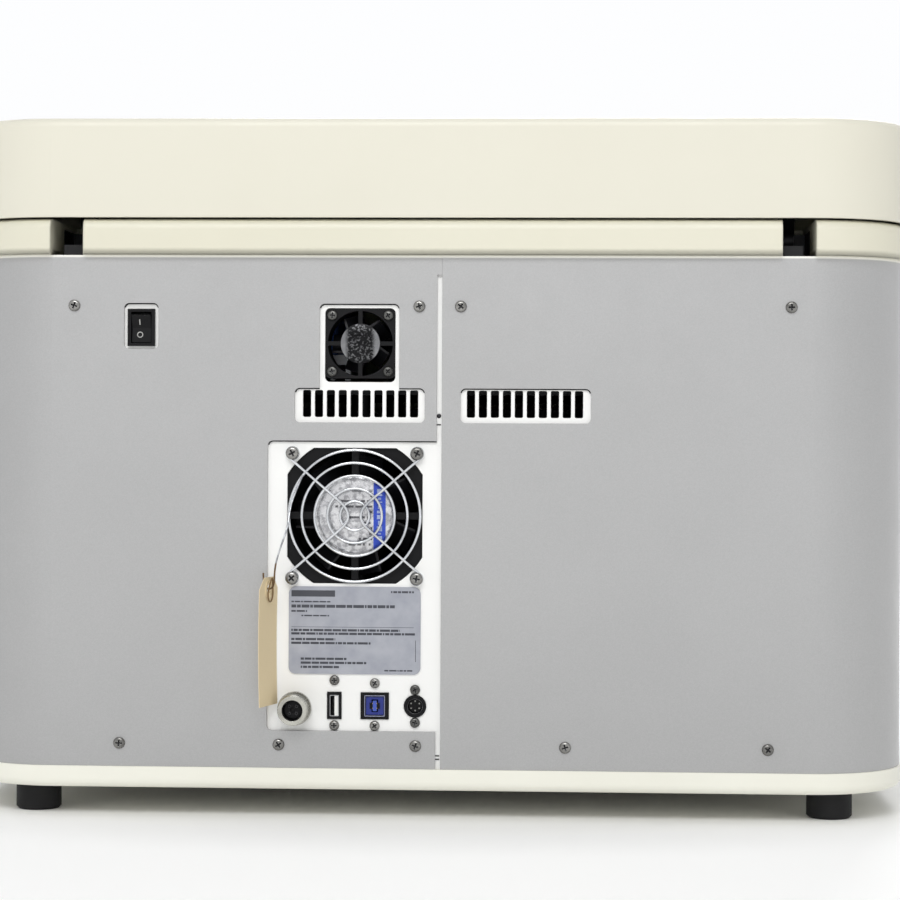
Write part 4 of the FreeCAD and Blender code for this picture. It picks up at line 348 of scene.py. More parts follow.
@dataclass(frozen=True)
class Moulding(Finish):
    """Painted or moulded plastic with a fine grain, faint mottle and rubbed edges."""

    shade: str = ""
    rubbed: str = ""
    mottle: float = 0.3
    grain: float = 1.1
    grain_deep: float = 0.02
    edge: float = 0.4
    gloss: float = 0.5
    roll: Pair | None = None
    roll_deep: float = 5.0

    def paint(self, graph: Graph) -> Sockets:
        """Draw the mottle, the grain, the rubbed edges and a rolled lower rim.

        Args:
            graph: The nodes of the material.

        Returns:
            What its shader takes.
        """
        normal, mask = graph.edges(self.edge)
        if self.roll is not None:
            under = graph.spread(graph.axis("Z"), *self.roll, 1, 0)
            normal = graph.bump(graph.work("SUBTRACT", 1.0, graph.times(under, under)), self.roll_deep, normal)
        colour = graph.blend(graph.cloud(95, 4, 0, self.mottle, low=0.35), self.tone, self.shade)
        if self.rubbed:
            colour = graph.blend(graph.times(mask, graph.cloud(4, 4, 0.1, 0.8, low=0.42)), colour, self.rubbed)
        return {
            "Base Color": colour,
            "Roughness": self.uneven(graph, 30, 0.05),
            "Specular IOR Level": self.gloss,
            "Normal": graph.bump(graph.noise(self.grain, 2), self.grain_deep, normal),
        }


@dataclass(frozen=True)
class MetallicPaint(Finish):
    """Silver lacquer on sheet steel, with fine flakes, a thin clear coat and a painted highlight along its upper edge.
    """

    flake: float = 0.4
    sparkle: float = 0.045
    # Heights of the band painted pale as the highlight of the cover's upper edge.
    rim: Pair = (321.3, 330.0)

    def paint(self, graph: Graph) -> Sockets:
        """Draw the flakes, the cloudiness of the spray, the painted highlight of the upper edge and the slight ripple.

        Args:
            graph: The nodes of the material.

        Returns:
            What its shader takes.
        """
        glint = graph.spread(graph.cells(self.flake), 0, 1, 1 - self.sparkle, 1 + self.sparkle)
        level = graph.times(glint, graph.cloud(60, 3, 0.985, 1.015))
        shares = {place: graph.times(level, share) for place, share in enumerate(linear(self.tone)[:3])}
        # Painted highlight: the top of the covers is blended towards near white, standing for their lit upper edge.
        lip = graph.times(graph.within("Z", *self.rim, soft=0.3), 0.85)
        return {
            "Base Color": graph.blend(lip, graph.add("CombineColor", shares).outputs[0], "EFEEE6"),
            "Metallic": 0.65,
            "Roughness": self.uneven(graph, 12, 0.03),
            "Coat Weight": 0.12,
            "Coat Roughness": 0.22,
            "Normal": graph.bump(graph.noise(2.2, 3), 0.006, graph.edges(0.4)[0]),
        }


@dataclass(frozen=True)
class Metal(Finish):
    """Bare or plated metal with lines drawn along one way, slightly dulled patches and a painted highlight along its
    edges.
    """

    dull: str = ""
    line: float = 0.5
    lines: Spot = (1.0, 1.0, 1.0)
    deep: float = 0.004
    edge: float = 0.2

    def paint(self, graph: Graph) -> Sockets:
        """Draw the lines, the dulled patches and the painted edge highlight.

        Args:
            graph: The nodes of the material.

        Returns:
            What its shader takes.
        """
        normal, mask = graph.edges(self.edge)
        brushed = graph.noise(self.line, 4, self.lines)
        colour = graph.blend(graph.cloud(14, 4, 0, 0.7, low=0.4), self.tone, self.dull)
        return {
            # Painted highlight: the colour is lifted towards white along every edge.
            "Base Color": graph.blend(graph.times(mask, 0.35), colour, "FFFFFF"),
            "Metallic": 1.0,
            "Roughness": graph.spread(brushed, 0.3, 0.7, self.roughness - 0.07, self.roughness + 0.09),
            "Normal": graph.bump(brushed, self.deep, normal),
        }


@dataclass(frozen=True)
class Anodised(Finish):
    """Coloured anodising over a bead-blasted alloy, thin at the edges."""

    bare: str = "B9BBBE"

    def paint(self, graph: Graph) -> Sockets:
        """Draw the blasted grain and the bright worn edges.

        Args:
            graph: The nodes of the material.

        Returns:
            What its shader takes.
        """
        normal, mask = graph.edges(0.35)
        worn = graph.times(mask, graph.cloud(3, 4, 0.05, 0.7, 0.4, 0.65))
        cloudy = graph.blend(graph.cloud(45, 3, 0, 0.12), self.tone, self.bare)
        return {
            "Base Color": graph.blend(worn, cloudy, self.bare),
            "Metallic": 0.55,
            "Roughness": self.uneven(graph, 6, 0.05),
            "Normal": graph.bump(graph.noise(0.6, 2), 0.012, normal),
        }


@dataclass(frozen=True)
class Clear(Finish):
    """Glass or clear plastic with a faint tint and drawing lines."""

    index: float = 1.49
    clarity: float = 1.0
    lines: Spot = (1.0, 1.0, 0.05)

    def paint(self, graph: Graph) -> Sockets:
        """Draw the tint and the faint lines.

        Args:
            graph: The nodes of the material.

        Returns:
            What its shader takes.
        """
        streaks = graph.noise(3, 3, self.lines)
        return {
            "Base Color": graph.blend(graph.spread(streaks, 0.3, 0.7, 0, 0.25), self.tone, "FFFFFF"),
            "Roughness": graph.spread(streaks, 0.3, 0.7, self.roughness, self.roughness + 0.05),
            "IOR": self.index,
            "Transmission Weight": self.clarity,
            "Normal": graph.bump(streaks, 0.004),
        }


@dataclass(frozen=True)
class Milky(Finish):
    """Translucent natural plastic that shows the fluid inside, under a coloured cap, with a painted highlight along its
    edges.
    """

    fluid: str = "CFE0E8"
    level: float = 150.0
    cap: str = "2C63A8"
    cap_from: float = 191.2

    def paint(self, graph: Graph) -> Sockets:
        """Draw the fluid line, the moulding haze, the painted edge highlight and the cap's own colour.

        Args:
            graph: The nodes of the material.

        Returns:
            What its shader takes.
        """
        normal, mask = graph.edges(0.8)
        filled = graph.blend(graph.within("Z", 0, self.level, 0.6), self.tone, self.fluid)
        body = graph.blend(graph.cloud(26, 3, 0, 0.18), filled, "FFFFFF")
        # Painted highlight: the body is whitened half way along every edge.
        body = graph.blend(graph.times(mask, 0.5), body, "FFFFFF")
        return {
            "Base Color": graph.blend(graph.within("Z", self.cap_from, 400, 0.05), body, self.cap),
            "Roughness": self.uneven(graph, 18, 0.06),
            "Subsurface Weight": 0.25,
            "Subsurface Radius": (0.02, 0.02, 0.02),
            "Normal": graph.bump(graph.noise(1.6, 2), 0.02, normal),
        }


@dataclass(frozen=True)
class Film(Finish):
    """A printed film. Rows of plain bars stand for the print, and folds with a painted shading of their wrinkles, a
    band or a dark core may be added.
    """

    ink: str = "3A3C44"
    middle: Pair = (0.0, 0.0)
    half: Pair | None = None
    pitch: float = 3.4
    bar: float = 0.36
    letter: float = 1.3
    share: float = 0.3
    band: Pair | None = None
    band_tone: str = "3A50B4"
    dark: Pair | None = None
    gloss: float = 0.35
    crease: float = 0.0

    def rows(self, graph: Graph) -> Socket:
        """Give a mask of the rows, broken into letters and ragged at their ends.

        Args:
            graph: The nodes of the material.

        Returns:
            The mask, which is one on the print.
        """
        across, up = (graph.work("SUBTRACT", graph.axis(name), spot) for name, spot in zip("XZ", self.middle))
        row = graph.work("DIVIDE", up, self.pitch)
        line = graph.work("FLOOR", row)
        key = graph.add("CombineXYZ", {0: graph.work("FLOOR", graph.work("DIVIDE", across, self.letter)), 1: line})
        letters = graph.add("TexWhiteNoise", {"Vector": key.outputs[0]}, noise_dimensions="2D")
        ends = graph.add("TexWhiteNoise", {"W": line}, noise_dimensions="1D")
        ink = graph.work("LESS_THAN", graph.work("FRACT", row), self.bar)
        for first, second in (
            (self.share, letters.outputs["Value"]),
            (across, graph.spread(ends.outputs["Value"], 0, 1, -0.9 * self.half[0], self.half[0])),
            (graph.work("ABSOLUTE", across), self.half[0]),
            (graph.work("ABSOLUTE", up), self.half[1]),
        ):
            ink = graph.times(ink, graph.work("LESS_THAN", first, second))
        return ink

    def paint(self, graph: Graph) -> Sockets:
        """Draw the ground, its folds with their painted shading, the rows, the coloured band and the dark core.

        Args:
            graph: The nodes of the material.

        Returns:
            What its shader takes.
        """
        colour = graph.blend(graph.cloud(9, 3, 0, 0.12), self.tone, "FFFFFF")
        normal = graph.bump(graph.noise(3, 2), 0.006)
        if self.crease:
            # Painted shade: a grey mottle over the foil stands for the shading of its wrinkles.
            colour = graph.blend(graph.cloud(3.4, 6, 0, 0.65, 0.46, 0.6), colour, "77777B")
            normal = graph.bump(graph.noise(4.5, 5, (1, 1, 0.8)), self.crease, normal)
        if self.half is not None:
            colour = graph.blend(graph.times(self.rows(graph), 0.85), colour, self.ink)
        if self.band is not None:
            colour = graph.blend(graph.within("X", *self.band), colour, self.band_tone)
        if self.dark is not None:
            core = graph.times(graph.within("X", *self.dark, soft=1.2), graph.cloud(1.3, 4, 0.97, 0.45, 0.52, 0.66))
            colour = graph.blend(core, colour, "070709")
        rough = self.uneven(graph, 5, 0.05)
        return {"Base Color": colour, "Metallic": self.gloss, "Roughness": rough, "Normal": normal}


@dataclass(frozen=True)
class Card(Finish):
    """Manila card with fibres, darker where it has been handled."""

    def paint(self, graph: Graph) -> Sockets:
        """Draw the fibres and the handling.

        Args:
            graph: The nodes of the material.

        Returns:
            What its shader takes.
        """
        fibres = graph.noise(0.5, 5, (1, 1, 0.25))
        colour = graph.blend(graph.spread(fibres, 0.3, 0.7, 0, 0.07), self.tone, "B98F4A")
        return {
            "Base Color": graph.blend(graph.cloud(17, 4, 0, 0.12, 0.5, 0.8), colour, "C9A660"),
            "Roughness": self.uneven(graph, 4, 0.05),
            "Normal": graph.bump(fibres, 0.03),
            "Sheen Weight": 0.4,
            "Sheen Roughness": 0.5,
            "Sheen Tint": "FFEFC8",
        }


@dataclass(frozen=True)
class TiedWire(Finish):
    """Thin steel wire whose lower end is bound with brown thread."""

    bound_below: float = 147.0
    thread: str = "6E5433"

    def paint(self, graph: Graph) -> Sockets:
        """Draw the dulled steel above and the thread's windings below.

        Args:
            graph: The nodes of the material.

        Returns:
            What its shader takes.
        """
        bound = graph.within("Z", 0, self.bound_below, 0.4)
        dulled = graph.blend(graph.cloud(3, 3, 0, 0.8, 0.35, 0.65), self.tone, "77797D")
        windings = graph.noise(0.4, 2, (0.4, 0.4, 1))
        thread = graph.blend(graph.spread(windings, 0.3, 0.7, 0, 0.6), self.thread, "3E2E1A")
        return {
            "Base Color": graph.blend(bound, dulled, thread),
            "Metallic": graph.work("SUBTRACT", 1.0, bound),
            "Roughness": graph.spread(bound, 0, 1, self.roughness, 0.8),
            "Normal": graph.bump(windings, 0.02),
        }


@dataclass(frozen=True)
class Board(Finish):
    """Solder-masked laminate with copper runs, pads and dark parts standing on it."""

    parts_above: float = 1e6

    def paint(self, graph: Graph) -> Sockets:
        """Draw the runs, the pads and the parts.

        Args:
            graph: The nodes of the material.

        Returns:
            What its shader takes.
        """
        fed = {"Vector": graph.stretched((0.14, 0.14, 0.14)), "Scale": 1.0, "Mortar Size": 0.03}
        runs = graph.times(graph.add("TexBrick", fed, offset=0.37).outputs["Fac"], 0.6)
        colour = graph.blend(runs, self.tone, "4E9A63")
        colour = graph.blend(graph.spread(graph.cells(2.4), 0.9, 0.94, 0, 0.8), colour, "CFCBB4")
        dark = graph.within("Z", self.parts_above, self.parts_above + 100)
        return {
            "Base Color": graph.blend(dark, colour, "1B1B1D"),
            "Roughness": self.uneven(graph, 5, 0.06),
            "Normal": graph.bump(runs, 0.03),
        }


@dataclass(frozen=True)
class Glow(Finish):
    """A lit lens with an uneven light."""

    strength: float = 1.2

    def paint(self, graph: Graph) -> Sockets:
        """Draw the light and its cloudiness.

        Args:
            graph: The nodes of the material.

        Returns:
            What its shader takes.
        """
        colour = graph.blend(graph.cloud(12, 2, 0, 0.3), self.tone, "FFFFFF")
        light = {"Emission Color": colour, "Emission Strength": self.strength}
        return {"Base Color": colour, "Roughness": self.roughness, **light}


@dataclass(frozen=True)
class Coated(Finish):
    """Optical glass with a thin coating that shifts colour towards its rim."""

    rim: str = "8A5CC8"

    def paint(self, graph: Graph) -> Sockets:
        """Draw the coating and its faint cloud.

        Args:
            graph: The nodes of the material.

        Returns:
            What its shader takes.
        """
        coat = graph.blend(graph.add("LayerWeight", {"Blend": 0.35}).outputs["Facing"], self.tone, self.rim)
        colour = graph.blend(graph.cloud(5, 2, 0, 0.15), coat, "FFFFFF")
        return {"Base Color": colour, "Metallic": 0.85, "Roughness": self.uneven(graph, 8, 0.02)}


@dataclass(frozen=True)
class Ground(Finish):
    """A pale seamless floor that grows lighter far from the instrument, as a lit backdrop does."""

    rings: tuple[Spot, ...] = ((300.0, 430.0, 0.15), (900.0, 3200.0, 0.5))

    def paint(self, graph: Graph) -> Sockets:
        """Draw the floor's faint unevenness and its far light.

        Args:
            graph: The nodes of the material.

        Returns:
            What its shader takes.
        """
        reach = graph.add("VectorMath", {0: graph.stretched((1, 1.3, 1))}, operation="LENGTH").outputs["Value"]
        near, far = (graph.spread(reach, low, high, 0, glow) for low, high, glow in self.rings)
        return {
            "Base Color": graph.blend(graph.cloud(400, 3, 0, 0.2), self.tone, "F4F4F3"),
            "Roughness": self.uneven(graph, 200, 0.03),
            "Emission Color": "FFFFFF",
            "Emission Strength": graph.work("ADD", near, far),
        }


CREAM = Moulding("cream_paint", "E0DDCE", 0.42, "D4D0BE", "EEECE2", 0.14, edge=0.5)
CREAM_BAND = Moulding("cream_band_paint", "E0DDCB", 0.4, "D3CFB9", "ECEADC", edge=1.6, roll=(322.5, 326.8))
CREAM_BASE = Moulding("cream_base_paint", "F8F7EB", 0.4, "EBE9DA", "FDFCF8", edge=0.6)
SILVER = MetallicPaint("silver_lacquer", "ADADAD", 0.4)
WHITE_SHEET = Moulding("white_powder_coat", "F9F9F7", 0.5, "ECECE8", mottle=0.2, grain=0.7, grain_deep=0.03)
BLACK_PLASTIC = Moulding("black_moulding", "0A0A0C", 0.5, "141416", "2C2C30", edge=0.3, gloss=0.18)
FAN_BLADE = Moulding("fan_moulding", "141417", 0.36, "202023", "4A4B50", edge=0.3, gloss=0.22)
SWITCH_GLOSS = Moulding("switch_moulding", "08080A", 0.3, "101013", "2C2C30", grain_deep=0.008, gloss=0.2)
RUBBER = Moulding("foot_rubber_moulding", "0E0E10", 0.7, "19191B", "", 0.5, 2.2, 0.06, gloss=0.35)
GREY_PLASTIC = Moulding("grey_moulding_paint", "6B6E73", 0.5, "55585C", "8A8D92", grain=1.4)
DARK_GREY = Moulding("dark_grey_moulding", "3C3E42", 0.5, "303236", "686A6E", grain=1.4)
BLUE_PLASTIC = Moulding("blue_moulding", "3E58B8", 0.35, "2C3F92", "7FA6DE", grain_deep=0.01)
DEEP_BLUE = Moulding("deep_blue_moulding", "1A2C86", 0.4, "0E1850", "3C55A8", 0.4, grain_deep=0.01)
RED_PLASTIC = Moulding("red_moulding", "B23A32", 0.38, "8E2A24", "D9807A", grain_deep=0.01)
WHITE_TONGUE = Moulding("white_tongue", "F4F4F1", 0.45, "DADAD5", grain_deep=0.008)
WHITE_INK = Moulding("white_mark", "BDBDBA", 0.5, "9C9C98", mottle=0.4, grain_deep=0.005)
PLATE_INK = Moulding("plate_ink", "2A2C34", 0.5, "5A5C64", mottle=0.6, grain_deep=0.004)
LIGHT_INK = Moulding("light_ink", "B9C6E6", 0.45, "8FA3D8", mottle=0.6, grain_deep=0.004)
SHELL_LAVENDER = Metal("port_shell", "9295AE", 0.3, "5E607A", 0.8)
FLAT_SHELL = Metal("flat_port_shell", "B9BABD", 0.3, "7C7D80", 0.8)
BRIGHT_WIRE = Metal("bright_wire", "D8DADD", 0.2, "A9ACB0", 1.2)
SCREW_STEEL = Metal("screw_steel", "8F8E8B", 0.22, "4E4D4B", 0.7)
# A darker copy of the screw steel, painted as the shade over heads that sit in recesses.
PAINTED_SHADE_SCREW = Metal("painted_shade_screw_steel", "626260", 0.3, "333332", 0.7)
PLATED = Metal("plated_steel_sheet", "B9BABA", 0.35, "9A9B9A", lines=(0.1, 1, 1))
BLACK_STEEL = Metal("black_oxide_steel", "3A3A3C", 0.42, "29292B", 1.0)
NICKEL = Metal("nickel_shell", "B9B8B0", 0.26, "75736B", 0.8)
GOLD = Metal("gold_contact", "D9B45B", 0.25, "B48E3C")
ALLOY = Metal("machined_alloy", "C6C8CB", 0.32, "AEB0B4", 0.6, (0.06, 1, 1))
BLACK_ANODISED = Anodised("black_anodising", "17181B", 0.42)
BLUE_ANODISED = Anodised("blue_anodising", "1F4E9A", 0.36)
GREY_ANODISED = Anodised("grey_anodising", "5A5D63", 0.4)
GLASS = Clear("optical_glass", "E8F2F4", 0.02, 1.46)
TUBE_PLASTIC = Clear("clear_tube_plastic", "F2F4F2", 0.05, 1.5, 0.92)
MIRROR = Coated("mirror_coating", "DCE6EA", 0.04, "B8C6D8")
MANILA = Card("manila_card", "FFEAB8", 0.8)
PATCH_CARD = Card("patch_card", "F6E2B8", 0.8)
TIE_STRING = Card("tie_cord", "6E5433", 0.8)
TIE_WIRE = TiedWire("tie_wire", "C9CBCE", 0.28)
LAMINATE = Board("board_laminate_mask", "1F6B3C", 0.38, 39.2)
CARD_LAMINATE = Board("card_laminate_mask", "1F6B3C", 0.38)
STATUS_GLOW = Glow("status_glow", "6FD3FF", 0.25)
SHEATH_PLASTIC = Milky("sheath_plastic", "E6EBEA", 0.4)
WASTE_PLASTIC = Milky("waste_plastic", "E9E7DE", 0.4, "D9C9A0", 96.0, "B23A32")
FLOOR = Ground("pale_floor", "FBFBFA", 0.7)
RATING_FILM = Film("rating_film", "9A9DA7", 0.4)
LARGE_FAN_FILM = Film(
    "large_fan_film", "CFCFD1", 0.24, "2E2E34", (45.0, 172.0), (12.0, 16.0), 3.1, 0.42, 1.1, 0.28,
    band=(25.4, 32.4), gloss=0.75, crease=0.4,
)
SMALL_FAN_FILM = Film(
    "small_fan_film", "747577", 0.3, "0E0E10", (40.3, 272.3), (7.5, 7.0), 2.2, letter=0.9, share=0.45,
    dark=(32.6, 48.2), gloss=0.85, crease=0.3,
)
DRESSED: tuple[tuple[Finish, str], ...] = (
    (CREAM, "lid front_fascia"),
    (CREAM_BAND, "upper_trim_band"),
    (CREAM_BASE, "base_tray"),
    (SILVER, "side_cover_left side_cover_right"),
    (WHITE_SHEET, "rear_chassis_plate"),
    (RUBBER, "rubber_feet lid_stop_blocks"),
    # The two USB port bodies wear black as painted shade of the gap round their shells and of their cavities.
    (BLACK_PLASTIC, "large_fan_frame small_fan_frame minidin_port usb_a_port usb_b_port front_button_switch"),
    (FAN_BLADE, "large_fan_rotor small_fan_rotor"),
    (SWITCH_GLOSS, "power_switch_body power_switch_rocker"),
    (NICKEL, "dc_inlet_connector"),
    (RATING_FILM, "rating_plate"),
    (DARK_GREY, "tank_alcove sample_bay"),
    (GREY_PLASTIC, "tube_lifter front_power_button syringe_pump valve_manifold"),
    (SHEATH_PLASTIC, "sheath_tank"),
    (WASTE_PLASTIC, "waste_tank"),
    (TUBE_PLASTIC, "sample_tube"),
    (GLASS, "flow_cuvette"),
    (ALLOY, "sample_probe laser_heat_sink syringe_plunger sheath_pump"),
    (BLACK_ANODISED, "optics_deck flow_cell_block filter_rack lens_mounts steering_mirrors"),
    (GREY_ANODISED, "filter_cassette_1 filter_cassette_2 filter_cassette_3 filter_cassette_4 detector_modules"),
    (BLUE_ANODISED, "laser_modules"),
    (BLACK_STEEL, "lid_hinge_arms lid_hinge_pins lid_hinge_brackets deck_posts"),
    (PLATED, "chassis_floor power_module"),
    (LAMINATE, "main_board"),
    (CARD_LAMINATE, "signal_cards io_board"),
    (STATUS_GLOW, "status_light"),
)


# ---- Meshes


class Form:
    """A mesh in the making. Its points are in millimetres of the frame."""

    def __init__(self) -> None:
        """Start an empty mesh that isn't turned or moved."""
        self.mesh = bmesh.new()
        self.turn = Matrix.Identity(4)

    def corner(self, spot: Sequence[float]) -> bmesh.types.BMVert:
        """Add one point."""
        return self.mesh.verts.new(self.turn @ Vector(spot))

    def loft(
        self, loops: Sequence[Sequence[Sequence[float]]], finish: int = 0, closed: bool = True, joined: bool = False
    ) -> list[bmesh.types.BMFace]:
        """Join loops of as many points each into a skin.

        Args:
            loops: The loops from one end to the other.
            finish: Which of the piece's finishes the skin wears.
            closed: Whether the end loops are filled.
            joined: Whether the last loop runs on into the first.

        Returns:
            The new faces.
        """
        rings = [[self.corner(spot) for spot in loop] for loop in loops]
        faces = []
        for low, high in zip(rings, rings[1:] + rings[:1] if joined else rings[1:]):
            for step, first in enumerate(low):
                following = (step + 1) % len(low)
                faces.append(self.mesh.faces.new((first, low[following], high[following], high[step])))
        if closed and not joined:
            faces += [self.mesh.faces.new(rings[0]), self.mesh.faces.new(rings[-1])]
        for face in faces:
            face.material_index = finish
        return faces

    def turned(
        self, profile: Sequence[Pair], middle: Sequence[float], sides: int = 48, finish: int = 0,
        axis: Axis = Axis.Y, joined: bool = False, closed: bool = True,
    ) -> None:
        """Turn an outline of radii and heights about an axis through a middle."""
        self.loft(
            [[axis.point(*spot, along) for spot in circle(radius, sides, middle)] for radius, along in profile],
            finish, closed, joined,
        )

    def slab(self, low: Sequence[float], high: Sequence[float], finish: int = 0) -> None:
        """Add a block between two corners."""
        outline = ((low[0], low[1]), (high[0], low[1]), (high[0], high[1]), (low[0], high[1]))
        self.loft([[(*spot, along) for spot in outline] for along in (low[2], high[2])], finish)

    def bar(self, middle: Pair, size: Pair, low: float, high: float, finish: int = 0) -> None:
        """Add a block that runs along Y about a middle, with its size across and up."""
        wide, tall = size[0] / 2, size[1] / 2
        self.slab((middle[0] - wide, low, middle[1] - tall), (middle[0] + wide, high, middle[1] + tall), finish)

    def tube(
        self, path: Sequence[Sequence[float]], radius: float, sides: int = 12, finish: int = 0, ring: bool = False
    ) -> None:
        """Sweep a round wire along a path.

        Args:
            path: Points of its centre line.
            radius: Radius of the wire.
            sides: How many sides it has.
            finish: Which of the piece's finishes it wears.
            ring: Whether the path closes on itself.
        """
        spots = [Vector(spot) for spot in path]
        loops = []
        side = None
        for number, spot in enumerate(spots):
            before = spots[number - 1] if ring or number else spot
            after = spots[(number + 1) % len(spots)] if ring or number < len(spots) - 1 else spot
            ahead = (after - before).normalized()
            side = side or ahead.orthogonal()
            side = (side - ahead * side.dot(ahead)).normalized()
            other = ahead.cross(side)
            loops.append([spot + side * across + other * up for across, up in circle(radius, sides)])
        self.loft(loops, finish, joined=ring)

    def piece(
        self, name: str, body: str, finishes: Sequence[Finish], stands_for: str = "",
        smooth: float = 32.0,
    ) -> None:
        """Make the mesh a piece of the instrument.

        Args:
            name: Name of the piece.
            body: The body of the frame that it rides on.
            finishes: Its finishes, in the order that its faces count them.
            stands_for: The node of the frame that it replaces, if it does.
            smooth: The angle in degrees below which edges look smooth.
        """
        bmesh.ops.recalc_face_normals(self.mesh, faces=self.mesh.faces)
        bmesh.ops.scale(self.mesh, vec=(MM, MM, MM), verts=self.mesh.verts)
        data = bpy.data.meshes.new(name)
        self.mesh.to_mesh(data)
        self.mesh.free()
        for face in data.polygons:
            face.use_smooth = True
        data.set_sharp_from_angle(angle=math.radians(smooth))
        for finish in finishes:
            data.materials.append(finish.material())
        made = added(name, data)
        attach(made, body)
        if stands_for:
            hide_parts(stands_for)
        LOG.info("piece %s rides on %s", name, body)


# ---- Floor, light and camera


def towards(stand: Spot, aim: Spot) -> Quaternion:
    """Turn a lamp or camera from where it stands to what it faces."""
    return (Vector(aim) - Vector(stand)).to_track_quat("-Z", "Y")


@dataclass(frozen=True)
class Lamp:
    """One soft lamp: where it stands, what it faces, its size and its power."""

    name: str
    stand: Spot
    aim: Spot
    size: Pair
    power: float

    def build(self) -> None:
        """Set the lamp up."""
        data = bpy.data.lights.new(self.name, "AREA")
        data.shape = "RECTANGLE"
        data.size, data.size_y = self.size
        data.energy = self.power
        lamp = added(self.name, data)
        lamp.location = self.stand
        lamp.rotation_euler = towards(self.stand, self.aim).to_euler()


@dataclass
class Studio:
    """The floor, the pale surroundings, the lamps and the camera."""

    floor_half: float = 12.0
    sky: Spot = (0.985, 0.99, 1.0)
    ambient: float = 0.4
    lamps: tuple[Lamp, ...] = (
        Lamp("rear_softbox", (0.1, 2.1, 1.85), (0, 0.1, 0.2), (1.5, 0.9), 30),
        Lamp("front_softbox", (-0.2, -2.2, 1.8), (0, 0, 0.2), (1.5, 0.9), 31),
        Lamp("top_softbox", (0.0, 0.2, 2.6), (0, 0.0, 0.2), (1.6, 1.2), 6),
    )
    stand: Spot = (-0.0775, 1.6014, 0.219)
    aim: Spot = (-0.0115, 0.203, 0.2116)
    roll: float = 0.3
    lens: float = 98.1

    def floor(self) -> None:
        """Lay the floor out to the horizon."""
        mesh = bmesh.new()
        bmesh.ops.create_grid(mesh, x_segments=2, y_segments=2, size=self.floor_half)
        data = bpy.data.meshes.new("studio_floor")
        mesh.to_mesh(data)
        mesh.free()
        data.materials.append(FLOOR.material())
        added("studio_floor", data)

    def surround(self) -> None:
        """Surround the scene with a pale light that glass and metal show too."""
        world = bpy.data.worlds.new("studio_surround")
        graph = Graph(world)
        ray = graph.add("LightPath").outputs
        seen = ray["Is Camera Ray"]
        for name in ("Is Glossy Ray", "Is Transmission Ray"):
            seen = graph.work("MAXIMUM", seen, ray[name])
        fed = {"Color": (*self.sky, 1.0), "Strength": graph.spread(seen, 0, 1, self.ambient, 1.0)}
        graph.add("OutputWorld", {"Surface": graph.add("Background", fed).outputs[0]})
        bpy.context.scene.world = world

    def camera(self) -> None:
        """Stand the camera where the photographer stood."""
        data = bpy.data.cameras.new("photo_camera")
        data.lens = self.lens
        data.sensor_width = 36.0
        data.clip_end = 60.0
        camera = added("photo_camera", data)
        tilt = Matrix.Rotation(math.radians(self.roll), 3, "Z")
        camera.rotation_euler = (towards(self.stand, self.aim).to_matrix() @ tilt).to_euler()
        camera.location = self.stand
        bpy.context.scene.camera = camera

    def build(self) -> None:
        """Set the stage."""
        self.floor()
        self.surround()
        self.camera()
        for lamp in self.lamps:
            lamp.build()
        bpy.context.scene.view_settings.view_transform = "Standard"


# ---- Rear face


